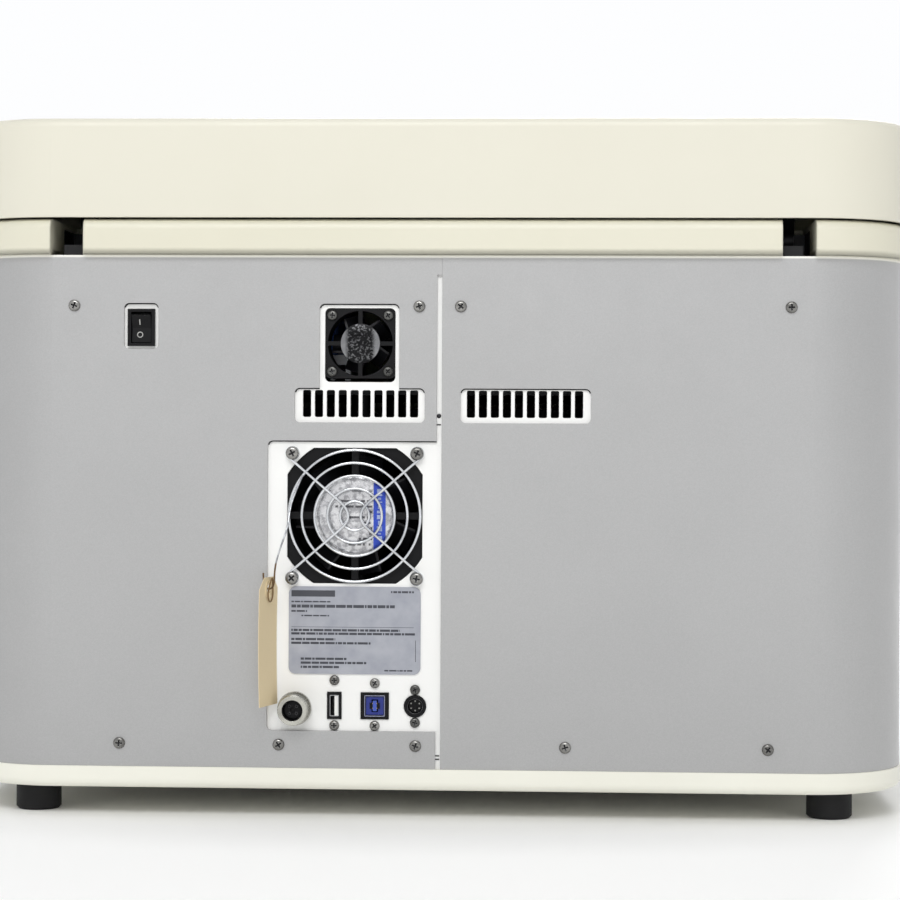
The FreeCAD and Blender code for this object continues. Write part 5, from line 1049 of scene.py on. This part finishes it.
@dataclass
class HangingTag:
    """The blank card tag with its ring patch, and the thin wire that holds it."""

    eye: Spot = (90.4, 216.496, 132.3)
    turn: float = -16.0
    half: float = 13.0
    low: float = -66.3
    high: float = 6.7
    clip: float = 6.5
    hole: float = 2.6
    patch: float = 5.4
    patch_thick: float = 0.16
    thick: float = 0.36
    bow: float = 0.65
    strips: int = 12
    wire_radius: float = 0.5
    wire_length: float = 0.081
    thread: float = 0.45
    thread_loop: tuple[Spot, ...] = (
        (-2.3, 0.0, 7.2), (-1.6, -1.9, 3.4), (-1.0, -3.9, -2.6), (-0.9, -2.6, -6.4),
        (-0.9, 0.0, -7.6), (-0.9, 2.6, -6.4), (-1.0, 3.9, -2.6), (-1.6, 1.9, 3.4),
    )
    route: tuple[Spot, ...] = (
        (72.71, 204.4, 196.81),
        (75.80, 205.9, 189.3),
        (79.30, 208.5, 179.3),
        (80.10, 212.5, 167.3),
        (84.20, 215.5, 155.3),
        (87.13, 217.43, 144.3),
        (87.13, 217.43, 132.3),
        (93.67, 215.56, 132.3),
        (93.67, 215.56, 141.3),
    )

    def bent(self, along: float, up: float, off: float) -> Vector:
        """Place a point of the flat card on the slightly bowed one."""
        share = (up - self.high) / (self.low - self.high)
        return Vector((off + self.bow * math.sin(math.pi * share), along, up))

    def card(self, form: Form) -> None:
        """Build the card with its clipped corners and its hole.

        Args:
            form: The mesh that it joins.
        """
        mesh = form.mesh
        shoulder, narrow = self.high - self.clip, self.half - self.clip
        outline = [
            (-self.half, self.low), (self.half, self.low), (self.half, shoulder),
            (narrow, self.high), (-narrow, self.high), (-self.half, shoulder),
        ]
        for loop in (outline, circle(self.hole, 24)):
            corners = [mesh.verts.new((0, along, up)) for along, up in loop]
            for pair in zip(corners, corners[1:] + corners[:1]):
                mesh.edges.new(pair)
        bmesh.ops.triangle_fill(mesh, use_beauty=True, edges=mesh.edges, normal=(1, 0, 0))
        for step in range(1, self.strips):
            height = self.low + (self.high - self.low) * step / self.strips
            everything = mesh.verts[:] + mesh.edges[:] + mesh.faces[:]
            bmesh.ops.bisect_plane(mesh, geom=everything, plane_co=(0, 0, height), plane_no=(0, 0, 1))
        skin = bmesh.ops.extrude_face_region(mesh, geom=mesh.faces[:])
        lifted = {item for item in skin["geom"] if isinstance(item, bmesh.types.BMVert)}
        for vert in mesh.verts:
            off = self.thick / 2 if vert in lifted else -self.thick / 2
            vert.co = form.turn @ self.bent(vert.co.y, vert.co.z, off)

    def tag(self) -> None:
        """Build the card, the ring patch on both sides and the loop of thread."""
        form = Form()
        form.turn = Matrix.Translation(self.eye) @ Matrix.Rotation(math.radians(self.turn), 4, "Z")
        self.card(form)
        for side in (-1, 1):
            near = self.thick / 2
            rings = hoop(self.patch, self.hole, side * near, side * (near + self.patch_thick))
            loops = [[self.bent(along, up, off) for along, up in circle(radius, 32)] for radius, off in rings]
            form.loft(loops, finish=1, joined=True)
        knots = [Vector(spot) for spot in self.thread_loop]
        path = [spot for first, after in zip(knots, knots[1:] + knots[:1]) for spot in (first, (first + after) / 2)]
        soft = [(path[n - 1] + path[n] * 2 + path[(n + 1) % len(path)]) / 4 for n in range(len(path))]
        form.tube(soft, self.thread, sides=8, finish=2, ring=True)
        form.piece("card_tag", "tag", [MANILA, PATCH_CARD, TIE_STRING], "service_tag")

    def wire(self) -> bpy.types.Object:
        """Build the wire as one smooth curve along the route.

        Returns:
            The new curve.
        """
        curve = bpy.data.curves.new("tag_tie_wire", "CURVE")
        curve.dimensions = "3D"
        curve.bevel_depth = self.wire_radius * MM
        curve.bevel_resolution = 3
        curve.use_fill_caps = True
        line = curve.splines.new("NURBS")
        line.points.add(len(self.route) - 1)
        for point, spot in zip(line.points, self.route):
            point.co = (*(Vector(spot) * MM), 1.0)
        line.order_u = 3
        line.use_endpoint_u = True
        line.resolution_u = 12
        curve.materials.append(TIE_WIRE.material())
        made = added("tag_tie_wire", curve)
        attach(made, "chassis")
        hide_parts("tag_wire")
        return made

    def build(self) -> None:
        """Build the tag on its wire."""
        self.tag()
        self.wire()


@dataclass
class CrossScrews:
    """Pan heads with a cross recess, one at each screw of the frame, with painted shade in the recess and on heads in
    shaded cut-outs.
    """

    node: str = "panel_screws"
    arm: float = 0.56
    arm_half: float = 0.14
    shape: tuple[Pair, ...] = ((1.0, 0.0), (1.0, 0.36), (0.95, 0.6), (0.83, 0.86), (0.64, 1.0))
    recess: tuple[Pair, ...] = ((1.0, 1.0), (0.86, 0.35), (0.4, 0.12))
    turn_step: float = 37.0
    # Boxes where the heads lie in the shade of a cut-out and wear the darker steel as painted shade.
    shaded: tuple[tuple[Pair, Pair], ...] = (((18.0, 63.0), (250.0, 295.0)), ((1.0, 15.0), (50.0, 80.0)))

    def cross(self, radius: float, turn: float) -> list[Pair]:
        """Give the outline of the recess.

        Args:
            radius: Radius of the head.
            turn: How far the recess is turned, in degrees.

        Returns:
            The points in order.
        """
        corner = math.degrees(math.atan2(self.arm_half, self.arm))
        points = []
        for quarter in range(4):
            for step in (0.0, corner, (corner + 45) / 2, 45.0, (135 - corner) / 2, 90 - corner):
                near = math.radians(min(step, 90 - step))
                tip = near <= math.radians(corner) + 1e-6
                reach = radius * (self.arm / math.cos(near) if tip else self.arm_half / math.sin(near))
                angle = math.radians(90 * quarter + step + turn)
                points.append((reach * math.cos(angle), reach * math.sin(angle)))
        return points

    def build(self) -> None:
        """Build every head on its place in the frame."""
        form = Form()
        for number, box in enumerate(solids(self.node)):
            radius, spot = box.size.x / 2, box.middle
            cross = self.cross(radius, number * self.turn_step)
            rim = [Vector(corner).normalized() * radius for corner in cross]
            faces = form.loft([
                [(spot.x + x * share, box.low.y + rise * box.size.y, spot.z + z * share) for x, z in outline]
                for outline, steps in ((rim, self.shape), (cross, self.recess)) for share, rise in steps
            ])
            shaded = any(x[0] < spot.x < x[1] and z[0] < spot.z < z[1] for x, z in self.shaded)
            # The cross recess wears black steel, painted as the shade inside it.
            for place, face in enumerate(faces):
                face.material_index = 1 if place >= len(self.shape) * len(cross) else 2 * shaded
        finishes = [SCREW_STEEL, BLACK_STEEL, PAINTED_SHADE_SCREW]
        form.piece("cross_head_screws", "chassis", finishes, self.node, smooth=40)


@dataclass
class FingerGuard:
    """The welded wire guard: rings, two bent arms with screw loops and their sleeves."""

    node: str = "large_fan_guard"
    wire: float = 0.8
    rings: tuple[float, ...] = (8.3, 15.65, 23.0, 30.35, 37.7)
    hole: float = 35.75
    near: float = -1.0
    bend: float = 12.0
    loop: float = 3.2
    loop_turn: float = 300.0
    loop_steps: int = 22
    ring_y: float = 202.6
    arm_y: float = 203.56
    sleeve_low: float = 201.0

    def arm(self, side: int, middle: Vector) -> list[Spot]:
        """Give the centre line of one arm.

        Args:
            side: Which arm it is, as minus one or one.
            middle: The middle of the guard.

        Returns:
            Its points, from loop to loop.
        """
        corner = Vector((side * self.hole, self.hole))
        knee = Vector((side * self.near, 0.0))
        ahead = (knee - corner).normalized() * self.loop
        flat = Vector((-ahead.y, ahead.x)) * side
        upper = []
        for step in range(self.loop_steps + 1):
            angle = math.radians(self.loop_turn * (step / self.loop_steps - 1))
            upper.append(corner + flat * math.cos(angle) + ahead * math.sin(angle))
        start = upper[-1]
        turn_in = start + (knee - start) * (1 - self.bend / (knee - start).length)
        upper.append(turn_in)
        turn_out = Vector((turn_in.x, -turn_in.y))
        shares = [step / 8 for step in range(1, 8)]
        bend = [turn_in * (1 - s) ** 2 + knee * 2 * s * (1 - s) + turn_out * s ** 2 for s in shares]
        lower = [Vector((spot.x, -spot.y)) for spot in reversed(upper)]
        return [(middle.x + spot.x, self.arm_y, middle.z + spot.y) for spot in upper + bend + lower]

    def build(self) -> None:
        """Build the wires and sleeves in place of the plain guard."""
        middle = node_box(self.node).middle
        form = Form()
        for radius in self.rings:
            path = [(across, self.ring_y, up) for across, up in circle(radius, 72, (middle.x, middle.z))]
            form.tube(path, self.wire, ring=True)
        top = self.arm_y - self.wire * 0.6
        sleeve = ((3.9, self.sleeve_low), (3.9, top - 0.3), (3.6, top), (2.2, top), (2.2, self.sleeve_low))
        for side in (-1, 1):
            form.tube(self.arm(side, middle), self.wire)
            for end in (-1, 1):
                form.turned(sleeve, (middle.x + side * self.hole, middle.z + end * self.hole), 32)
        form.piece("finger_guard", "chassis", [BRIGHT_WIRE], self.node, smooth=50)


@dataclass
class FanLabels:
    """The foil labels on the fans' motor caps."""

    caps: tuple[tuple[str, Spot, float, Film], ...] = (
        ("large_fan_label", (43.0, 199.0, 173.6), 23.4, LARGE_FAN_FILM),
        ("small_fan_label", (40.3, 201.0, 272.3), 11.2, SMALL_FAN_FILM),
    )
    thick: float = 0.16

    def build(self) -> None:
        """Build a foil disc on each motor cap."""
        for name, (across, low, up), radius, film in self.caps:
            form = Form()
            face = low + self.thick
            profile = ((radius, low), (radius, face - 0.05), (radius - 0.1, face), (radius * 0.3, face))
            form.turned(profile, (across, up), 64)
            form.piece(name, "chassis", [film])


@dataclass
class RockerMarks:
    """The moulded line and ring on the power rocker."""

    pivot: Spot = (167.2, 199.0, 281.0)
    tilt: float = -9.0
    rise: float = 4.2
    valley: float = 2.0
    half: float = 8.0
    along: float = 3.8
    line: Pair = (0.3, 1.7)
    ring: float = 1.5
    stroke: float = 0.26
    proud: float = 0.1

    def face(self, side: int) -> Matrix:
        """Give the frame of one half of the rocker.

        Args:
            side: One for the upper half, minus one for the lower.

        Returns:
            A frame that runs across, up the slope, and outwards.
        """
        slope = math.atan2(self.rise - self.valley, self.half)
        up = Vector((0, math.sin(slope), side * math.cos(slope)))
        out = Vector((0, math.cos(slope), -side * math.sin(slope)))
        spot = Vector((0, self.valley, 0)) + up * self.along
        local = Matrix.Translation(spot) @ Matrix((Vector((1, 0, 0)), up * side, out)).transposed().to_4x4()
        return Matrix.Translation(self.pivot) @ Matrix.Rotation(math.radians(self.tilt), 4, "X") @ local

    def build(self) -> None:
        """Build both marks on the rocker."""
        form = Form()
        form.turn = self.face(1)
        wide, tall = self.line
        form.slab((-wide, -tall, -self.proud), (wide, tall, self.proud))
        form.turn = self.face(-1)
        profile = hoop(self.ring + self.stroke, self.ring - self.stroke, -self.proud, self.proud)
        form.turned(profile, (0, 0), 40, axis=Axis.Z, joined=True)
        form.piece("rocker_marks", "rocker", [WHITE_INK])


@dataclass
class RearSockets:
    """Shells, tongues, contacts and pins of the rear sockets."""

    port_z: float = 64.8
    face: float = 201.8
    floor: float = 191.8
    flat_x: float = 54.2
    flat_tongue: Spot = (53.0, 2.2, 11.6)
    contact_pitch: float = 2.3
    square_x: float = 31.0
    housing: Pair = (10.2, 10.4)
    tongue: Pair = (2.2, 6.0)
    tongue_low: float = 201.05
    round_x: float = 7.9
    pin_circle: float = 2.7
    inlet: Pair = (77.0, 63.0)
    inlet_low: float = 204.3
    inlet_floor: float = 206.0
    inlet_tip: float = 215.0
    inlet_radius: float = 8.3
    inlet_wall: float = 7.4
    inlet_bore: float = 6.0
    inlet_pins: float = 2.9
    thread_pitch: float = 1.1

    def shell(self, form: Form, across: float, sizes: tuple[Pair, Pair], reach: Pair, finish: int = 0) -> None:
        """Add a rectangular ring with round corners, between two places along Y.

        Args:
            form: The mesh that it joins.
            across: Where its middle lies along X.
            sizes: Its outer and its inner size.
            reach: Where it starts and ends.
            finish: Which of the piece's finishes it wears.
        """
        loops = []
        for corner, (size, along) in zip((0.5, 0.5, 0.3, 0.3), hoop(*sizes, *reach)):
            outline = rounded(size, corner, (across, self.port_z))
            loops.append([Axis.Y.point(*spot, along) for spot in outline])
        form.loft(loops, finish, joined=True)

    def flat_port(self) -> None:
        """Build the thin shell, the pale tongue and the contacts of the flat port."""
        form = Form()
        self.shell(form, self.flat_x, ((5.15, 12.1), (4.5, 11.4)), (self.floor + 0.1, self.face + 0.05))
        across, wide, tall = self.flat_tongue
        form.bar((across, self.port_z), (wide, tall), self.floor, self.face - 0.5, 1)
        for number in range(4):
            spot = (across + wide / 2 + 0.06, self.port_z + self.contact_pitch * (number - 1.5))
            form.bar(spot, (0.12, 1.0), self.floor + 0.5, self.face - 1.4, 2)
        form.piece("flat_port_details", "chassis", [FLAT_SHELL, WHITE_TONGUE, GOLD])

    def square_port(self) -> None:
        """Build the shell, the deep blue housing and the brighter tongue of the square port."""
        form = Form()
        wide, tall = self.tongue
        self.shell(form, self.square_x, ((11.7, 12.0), (11.0, 11.3)), (self.floor + 0.1, self.face + 0.05))
        hole = (wide + 1.6, tall + 1.2)
        self.shell(form, self.square_x, (self.housing, hole), (self.floor + 0.2, self.face - 1.2), 1)
        form.bar((self.square_x, self.port_z), self.tongue, self.tongue_low, self.face - 0.5, 2)
        for side in (-1, 1):
            for step in (-1, 1):
                spot = (self.square_x + side * (wide / 2 + 0.08), self.port_z + 1.4 * step)
                form.bar(spot, (0.2, 0.9), self.tongue_low - 0.05, self.face - 0.6, 3)
        form.piece("square_port_details", "chassis", [SHELL_LAVENDER, DEEP_BLUE, BLUE_PLASTIC, GOLD])

    def round_socket(self) -> None:
        """Build the shell, the pins and the key of the round data socket."""
        form = Form()
        middle = (self.round_x, self.port_z)
        deep = self.face - 3.2
        form.turned(hoop(4.5, 4.2, self.floor + 0.1, self.face - 0.3), middle, 40, joined=True)
        form.turned(((4.0, self.floor), (4.0, deep), (3.8, deep + 0.2)), middle, 40, 1)
        for spot in self.about(middle, self.pin_circle, 6, 30):
            form.turned(((0.5, deep), (0.5, deep + 0.3)), spot, 12, 2)
        form.bar((self.round_x, self.port_z - 0.5), (1.8, 1.4), self.floor, self.face - 2.4, 1)
        form.piece("round_socket_details", "chassis", [BLACK_STEEL, BLACK_PLASTIC, SCREW_STEEL])

    def about(self, middle: Pair, radius: float, count: int, start: float) -> Iterator[Pair]:
        """Give places about a middle, from an angle in degrees on.

        Args:
            middle: The middle, across and up.
            radius: How far each place is from it.
            count: How many places.
            start: The angle of the first, in degrees.

        Returns:
            The places in order.
        """
        for number in range(count):
            angle = math.radians(start + 360 / count * number)
            yield middle[0] + radius * math.cos(angle), middle[1] + radius * math.sin(angle)

    def power_inlet(self) -> None:
        """Build the thread, the bright lip, the black insert and its contacts."""
        form = Form()
        low, base, tip = self.inlet_low, self.inlet_floor, self.inlet_tip - 0.02
        count = int((self.inlet_tip - 1.2 - low) / self.thread_pitch)
        end, root = low + count * self.thread_pitch, self.inlet_radius + 0.05
        thread: list[Pair] = [(self.inlet_wall, low), (root, low)]
        for number in range(count):
            start = low + number * self.thread_pitch
            thread += [(root, start + 0.25), (self.inlet_radius + 0.5, start + self.thread_pitch / 2 + 0.1)]
        thread += [(root, end), (self.inlet_wall, end)]
        bore, rim = self.inlet_bore - 0.02, self.inlet_radius + 0.1
        back, soft = tip - 1.2, tip - 0.4
        lip = ((bore, back), (bore, soft), (bore + 0.42, tip), (rim - 0.4, tip), (rim, soft), (rim, back))
        sleeve = ((5.95, base), (5.95, tip - 1.3), (5.5, tip - 1.1), (5.5, base))
        for profile, sides, finish in ((thread, 56, 0), (lip, 56, 0), (sleeve, 48, 1)):
            form.turned(profile, self.inlet, sides, finish, joined=True)
        insert = ((5.3, base), (5.3, base + 3.8), (4.9, base + 4.2), (1.5, base + 4.2), (1.2, base + 3.4))
        form.turned(insert, self.inlet, 40, 1)
        for spot in self.about(self.inlet, self.inlet_pins, 4, 45):
            form.turned(hoop(0.9, 0.55, base + 4.1, base + 4.5), spot, 14, 2, joined=True)
        form.piece("power_inlet_details", "chassis", [NICKEL, BLACK_PLASTIC, BLACK_STEEL])

    def build(self) -> None:
        """Build the details of all four sockets."""
        for socket in (self.flat_port, self.square_port, self.round_socket, self.power_inlet):
            socket()


@dataclass
class PlatePrint:
    """Plain bars where a rating plate and a fan label would carry their print.

    Each row holds its height on the plate, where it starts and ends, and its boldness.
    """

    face: float = 201.78
    proud: float = 0.07
    rules: tuple[tuple[float, ...], ...] = (
        (129.0, 79.1, 54.0, 3.6), (109.8, 79.1, 8.8, 0.2), (96.35, 7.85, 7.55, 12.3),
    )
    rows: tuple[tuple[float, ...], ...] = (
        (130.1, 21.9, 8.8, 1.1),
        (124.3, 79.1, 56.7, 0.8),
        (121.7, 79.1, 19.7, 1.7),
        (118.9, 79.1, 69.7, 1.0),
        (116.3, 73.3, 57.4, 0.8),
        (108.0, 79.1, 16.8, 1.25),
        (106.0, 79.1, 8.1, 1.25),
        (102.8, 79.1, 53.8, 1.25),
        (100.6, 79.1, 33.5, 1.25),
        (91.6, 73.6, 47.3, 1.25),
        (89.3, 73.6, 35.7, 1.25),
        (86.9, 73.6, 51.6, 1.25),
        (85.1, 25.5, 9.5, 0.8),
    )
    word: float = 2.2
    gap: float = 0.5
    chord_x: float = 28.9
    chord_face: float = 199.15
    chord_proud: float = 0.05
    chord: Pair = (160.0, 187.0)
    chord_gap: float = 0.9

    def words(self, number: int) -> Iterator[int]:
        """Give an endless row of uneven lengths.

        Args:
            number: Where the row starts.

        Returns:
            The lengths, from none to ten.
        """
        while True:
            number = (number * 7 + 3) % 11
            yield number

    def plate(self) -> None:
        """Print the rating plate, each row from the left of the view."""
        form = Form()
        bars = [(height, place, end, bold) for height, place, end, bold in self.rules]
        for height, place, end, bold in self.rows:
            lengths = self.words(int(height))
            while place > end:
                long = self.word * (0.35 + 0.2 * next(lengths)) * math.sqrt(bold)
                bars.append((height, place, max(place - long, end), bold))
                place -= long + self.gap
        for height, place, end, bold in bars:
            form.bar(((place + end) / 2, height), (place - end, bold), self.face, self.face + self.proud)
        form.piece("rating_plate_print", "chassis", [PLATE_INK])

    def label(self) -> None:
        """Print the coloured chord of the large fan's label."""
        form = Form()
        lengths = self.words(2)
        place = self.chord[0]
        while place < self.chord[1]:
            number = next(lengths)
            long = 0.7 + 0.22 * number
            size = (1.8 if number % 2 else 3.0, long)
            form.bar((self.chord_x, place + long / 2), size, self.chord_face, self.chord_face + self.chord_proud)
            place += long + self.chord_gap
        form.piece("fan_label_print", "chassis", [LIGHT_INK])

    def build(self) -> None:
        """Print both."""
        self.plate()
        self.label()


@dataclass
class CoverDetails:
    """Thin black lines under the upper edges of the cut-outs, painted as the shadow of the cover's cut edges, and small
    black dots and dashes in the seam.

    Each run of painted shadow holds its two ends, its height, and whether each end bends round a corner.
    """

    # Painted shadow: thin black tubes under the upper edges of the cut-outs stand for the shade that the cover's edge
    # casts on the plate.
    shadow_line_y: float = 201.35
    trim: float = 0.32
    corner: float = 3.0
    runs: tuple[tuple[float, float, float, bool, bool], ...] = (
        (156.35, 176.25, 295.0, True, True),
        (17.8, 63.5, 294.9, True, True),
        (3.1, 17.8, 246.7, True, False),
        (63.5, 77.7, 246.7, False, True),
        (-91.7, -17.3, 246.7, True, True),
        (-3.8, 93.0, 216.5, False, True),
    )
    seam_x: float = -5.0
    seam_face: float = 201.0
    dots: tuple[Pair, ...] = ((313.0, 0.8), (231.0, 1.3))
    dashes: tuple[float, ...] = (226.0, 36.6, 34.6)

    def end(self, across: float, top: float, way: int, bent: bool) -> list[Spot]:
        """Give the points of one end of a run.

        Args:
            across: Where the run ends along X.
            top: The height of the edge.
            way: One at the low end, minus one at the high end.
            bent: Whether the end bends round a corner.

        Returns:
            The points, from the end to the straight run.
        """
        radius, straight, low = self.corner - self.trim, across + way * self.corner, top - self.corner
        points = [(across, self.shadow_line_y, top - self.trim)]
        if bent:
            turns = [math.radians(12 * step) for step in range(1, 8)]
            points = [(straight - way * radius * math.cos(a), self.shadow_line_y, low + radius * math.sin(a)) for a in turns]
        return points + [(straight, self.shadow_line_y, top - self.trim)]

    def painted_shadow_lines(self) -> None:
        """Build a bent black line under each upper edge, painted as the shadow of the cut edge."""
        form = Form()
        for low, high, top, low_bent, high_bent in self.runs:
            path = self.end(low, top, 1, low_bent) + self.end(high, top, -1, high_bent)[::-1]
            form.tube(path, self.trim, sides=8)
        # The black lines are a painted shadow, not a part of the cover.
        form.piece("cutout_painted_shadow_lines", "chassis", [BLACK_PLASTIC])

    def build(self) -> None:
        """Build the painted shadow lines, and then the dots and the dashes."""
        self.painted_shadow_lines()
        # Small black dots and dashes in the seam between the covers.
        form = Form()
        face = self.seam_face
        for height, radius in self.dots:
            form.turned(((radius, face), (radius, face + 0.25), (radius - 0.25, face + 0.4)), (self.seam_x, height), 20)
        for height in self.dashes:
            form.bar((self.seam_x, height), (2.4, 0.7), face, face + 0.3)
        form.piece("seam_dark_marks", "chassis", [BLACK_STEEL])


# ---- Front, optics and inside


@dataclass
class OpticsDetails:
    """What stands on the optics deck: screws, tapped holes, coated faces, lids and connectors."""

    deck_top: float = 252.0
    hole_pitch: float = 25.0
    clear: float = 4.0
    beam_z: float = 284.0
    window: float = 8.8
    tints: tuple[str, ...] = ("3B62C4", "2F9E6B", "D2A23A", "B4453C")

    def cap_screw(self, form: Form, middle: Pair, low: float, radius: float) -> None:
        """Add a socket head screw that stands on a face, its socket in a darker finish as painted shade.

        Args:
            form: The mesh that it joins.
            middle: Where it stands along X and Y.
            low: The height of the face.
            radius: Radius of its head.
        """
        rise, socket = radius * 1.5, low + radius * 1.5 * 0.35
        head = ((radius, low), (radius, low + rise * 0.85), (radius * 0.88, low + rise), (radius * 0.52, low + rise))
        # The hexagon socket wears the piece's second finish, black moulding darker than the head, as painted shade
        # inside it.
        hexagon = ((radius * 0.52, low + rise), (radius * 0.5, socket))
        for profile, finish in ((head, 0), (hexagon, 1)):
            form.turned(profile, middle, 20, finish, Axis.Z, closed=False)
        bottom = [form.corner((*spot, socket)) for spot in circle(radius * 0.5, 20, middle)]
        form.mesh.faces.new(bottom).material_index = 1

    def deck(self) -> None:
        """Build the deck's fixing screws and its grid of tapped holes."""
        form = Form()
        deck = node_box("optics_deck")
        top, clear = self.deck_top, Vector((self.clear, self.clear, 0))
        standing = [node_box(name) for name in ("laser_heat_sink", "filter_rack", "flow_cell_block")]
        for name in ("steering_mirrors", "lens_mounts", "detector_modules", "laser_modules"):
            standing += solids(name)
        kept = [(box.low - clear, box.high + clear) for box in standing]
        for step_x in range(int(deck.size.x / self.hole_pitch)):
            for step_y in range(int(deck.size.y / self.hole_pitch)):
                across = deck.low.x + self.hole_pitch * (step_x + 0.5)
                along = deck.low.y + self.hole_pitch * (step_y + 0.5)
                if not any(low.x < across < high.x and low.y < along < high.y for low, high in kept):
                    ring = ((1.6, top), (1.6, top + 0.12), (3.0, top + 0.12), (3.1, top))
                    form.turned(ring, (across, along), 18, axis=Axis.Z, joined=True)
        form.piece("deck_hole_rims", "chassis", [ALLOY])
        form = Form()
        for across in (deck.low.x + 8, 0.0, deck.high.x - 8):
            for along in (deck.low.y + 8, deck.high.y - 8):
                self.cap_screw(form, (across, along), top, 3.4)
        form.piece("deck_screws", "chassis", [BLACK_STEEL, BLACK_PLASTIC])

    def lasers(self) -> None:
        """Build lid screws, blank plates, snout rings and rear connectors of the lasers."""
        form = Form()
        for box in solids("laser_modules"):
            top, across, near, rear, beam = box.high.z, box.middle.x, box.low.y, box.high.y, self.beam_z
            for side in (-1, 1):
                for along in (32.0, rear - 6):
                    self.cap_screw(form, (across + side * 11.5, along), top, 1.7)
            form.slab((across - 9, 52, top - 0.05), (across + 9, 92, top + 0.3), 2)
            ring = ((7.05, 16.5), (7.9, 16.5), (8.0, 17.0), (8.0, 19.5), (7.9, 20.0), (7.05, 20.0))
            form.turned(ring, (across, beam), 40, 3, joined=True)
            form.turned(((4.4, near - 0.02), (4.4, near - 0.3), (4.0, near - 0.45)), (across, beam), 32, 4)
            plug = ((4.2, rear), (4.2, rear + 3.2), (3.8, rear + 3.6), (3.0, rear + 3.6), (3.0, rear + 1.0))
            form.turned(plug, (across - 8, beam), 32, 3)
            form.bar((across + 7, beam), (10, 8), rear - 0.05, rear + 2.4, 5)
        form.piece("laser_details", "chassis", [BLACK_STEEL, BLACK_PLASTIC, ALLOY, NICKEL, MIRROR, DARK_GREY])

    def filters(self) -> None:
        """Build a coated disc and its retaining rings in each lift-out cassette."""
        for number, tint in enumerate(self.tints, 1):
            box = node_box(f"filter_cassette_{number}")
            form = Form()
            middle = (box.middle.x, self.beam_z)
            near, far = box.low.y + 1.6, box.high.y - 1.6
            form.turned(((self.window, near), (self.window, far)), middle)
            for low, high in ((near - 0.7, near), (far, far + 0.7)):
                form.turned(hoop(8.95, 7.7, low, high), middle, finish=1, joined=True)
            inset, top = Vector((3, 1.5, 0)), Vector((0, 0, box.size.z - 0.05))
            form.slab(box.low + inset + top, box.high - inset + Vector((0, 0, 0.2)), 2)
            coating = Coated(f"filter_coating_{number}", tint, 0.05)
            form.piece(f"filter_disc_{number}", f"cassette_{number}", [coating, BLACK_STEEL, ALLOY])

    def detectors(self) -> None:
        """Build the coaxial connectors and lid screws of the detectors."""
        form = Form()
        shell = ((4.6, 0.05), (4.6, -1.2), (3.2, -1.4), (3.2, -6.4), (2.7, -6.8), (1.7, -6.8), (1.7, -3.5))
        pin = ((0.6, -3.4), (0.6, -6.0), (0.3, -6.3))
        for box in solids("detector_modules"):
            if box.size.y < 50:
                continue
            for profile, sides, finish in ((shell, 32, 0), (pin, 12, 1)):
                behind = [(radius, box.low.y + along) for radius, along in profile]
                form.turned(behind, (box.middle.x, box.middle.z), sides, finish)
            for side in (-1, 1):
                for along in (box.low.y + 6, box.high.y - 6):
                    self.cap_screw(form, (box.middle.x + side * (box.size.x / 2 - 4), along), box.high.z, 1.6)
        form.piece("detector_connectors", "chassis", [GOLD, BLACK_PLASTIC])

    def build(self) -> None:
        """Build every detail of the deck."""
        for group in (self.deck, self.lasers, self.filters, self.detectors):
            group()


@dataclass
class FrontDetails:
    """The power mark on the front button, and the ribs and scales of the tanks."""

    middle: Pair = (127.0, 276.0)
    face: float = -214.5
    radius: float = 3.4
    stroke: float = 0.35
    gap: float = 38.0
    line: Pair = (0.6, 4.4)
    ribs: int = 36
    rib_circle: float = 21.95
    rib: Spot = (0.5, 193.0, 205.6)
    scale: tuple[float, ...] = (60.0, 80.0, 100.0, 120.0, 140.0, 160.0)
    marks: Pair = (14.0, 9.0)

    def button(self) -> None:
        """Build the open ring and the upright line on the button."""
        form = Form()
        across, up = self.middle
        turns = [math.radians(90 + self.gap + (360 - 2 * self.gap) * step / 24) for step in range(25)]
        ring = [(across + self.radius * math.cos(a), self.face, up + self.radius * math.sin(a)) for a in turns]
        for path in (ring, [(across, self.face, up + height) for height in self.line]):
            form.tube(path, self.stroke, sides=8)
        form.piece("front_button_mark", "front_button", [WHITE_INK])

    def tanks(self) -> None:
        """Build ribs and scale marks for both tanks."""
        radius, low, high = self.rib
        for node, cap in (("sheath_tank", BLUE_PLASTIC), ("waste_tank", RED_PLASTIC)):
            box = node_box(node)
            form = Form()
            for spot in circle(self.rib_circle, self.ribs, box.middle.xy):
                form.turned(((radius, low), (radius, high - 0.3), (radius * 0.6, high)), spot, 6, axis=Axis.Z)
            for number, height in enumerate(self.scale):
                long = self.marks[number % 2]
                middle = (box.low.x + 10 + long / 2, height)
                form.bar(middle, (long, 0.8), box.low.y - 0.12, box.low.y + 0.1, 1)
            form.piece(f"{node}_details", f"{node}_body", [cap, DARK_GREY])

    def build(self) -> None:
        """Build the mark and the tanks' details."""
        self.button()
        self.tanks()


GROUPS = (
    Studio, HangingTag, CrossScrews, FingerGuard, FanLabels, RockerMarks, RearSockets, PlatePrint, CoverDetails,
    OpticsDetails, FrontDetails,
)


def main() -> None:
    """Build the stage, the rear, the front and the inside, and dress the frame's own nodes."""
    logging.basicConfig(level=logging.INFO, format="%(message)s")
    for group in GROUPS:
        group().build()
    for finish, nodes in DRESSED:
        for node in nodes.split():
            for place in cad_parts[node].material_slots:
                place.material = finish.material()
            LOG.info("node %s wears %s", node, finish.name)


if __name__ == "__main__":
    main()
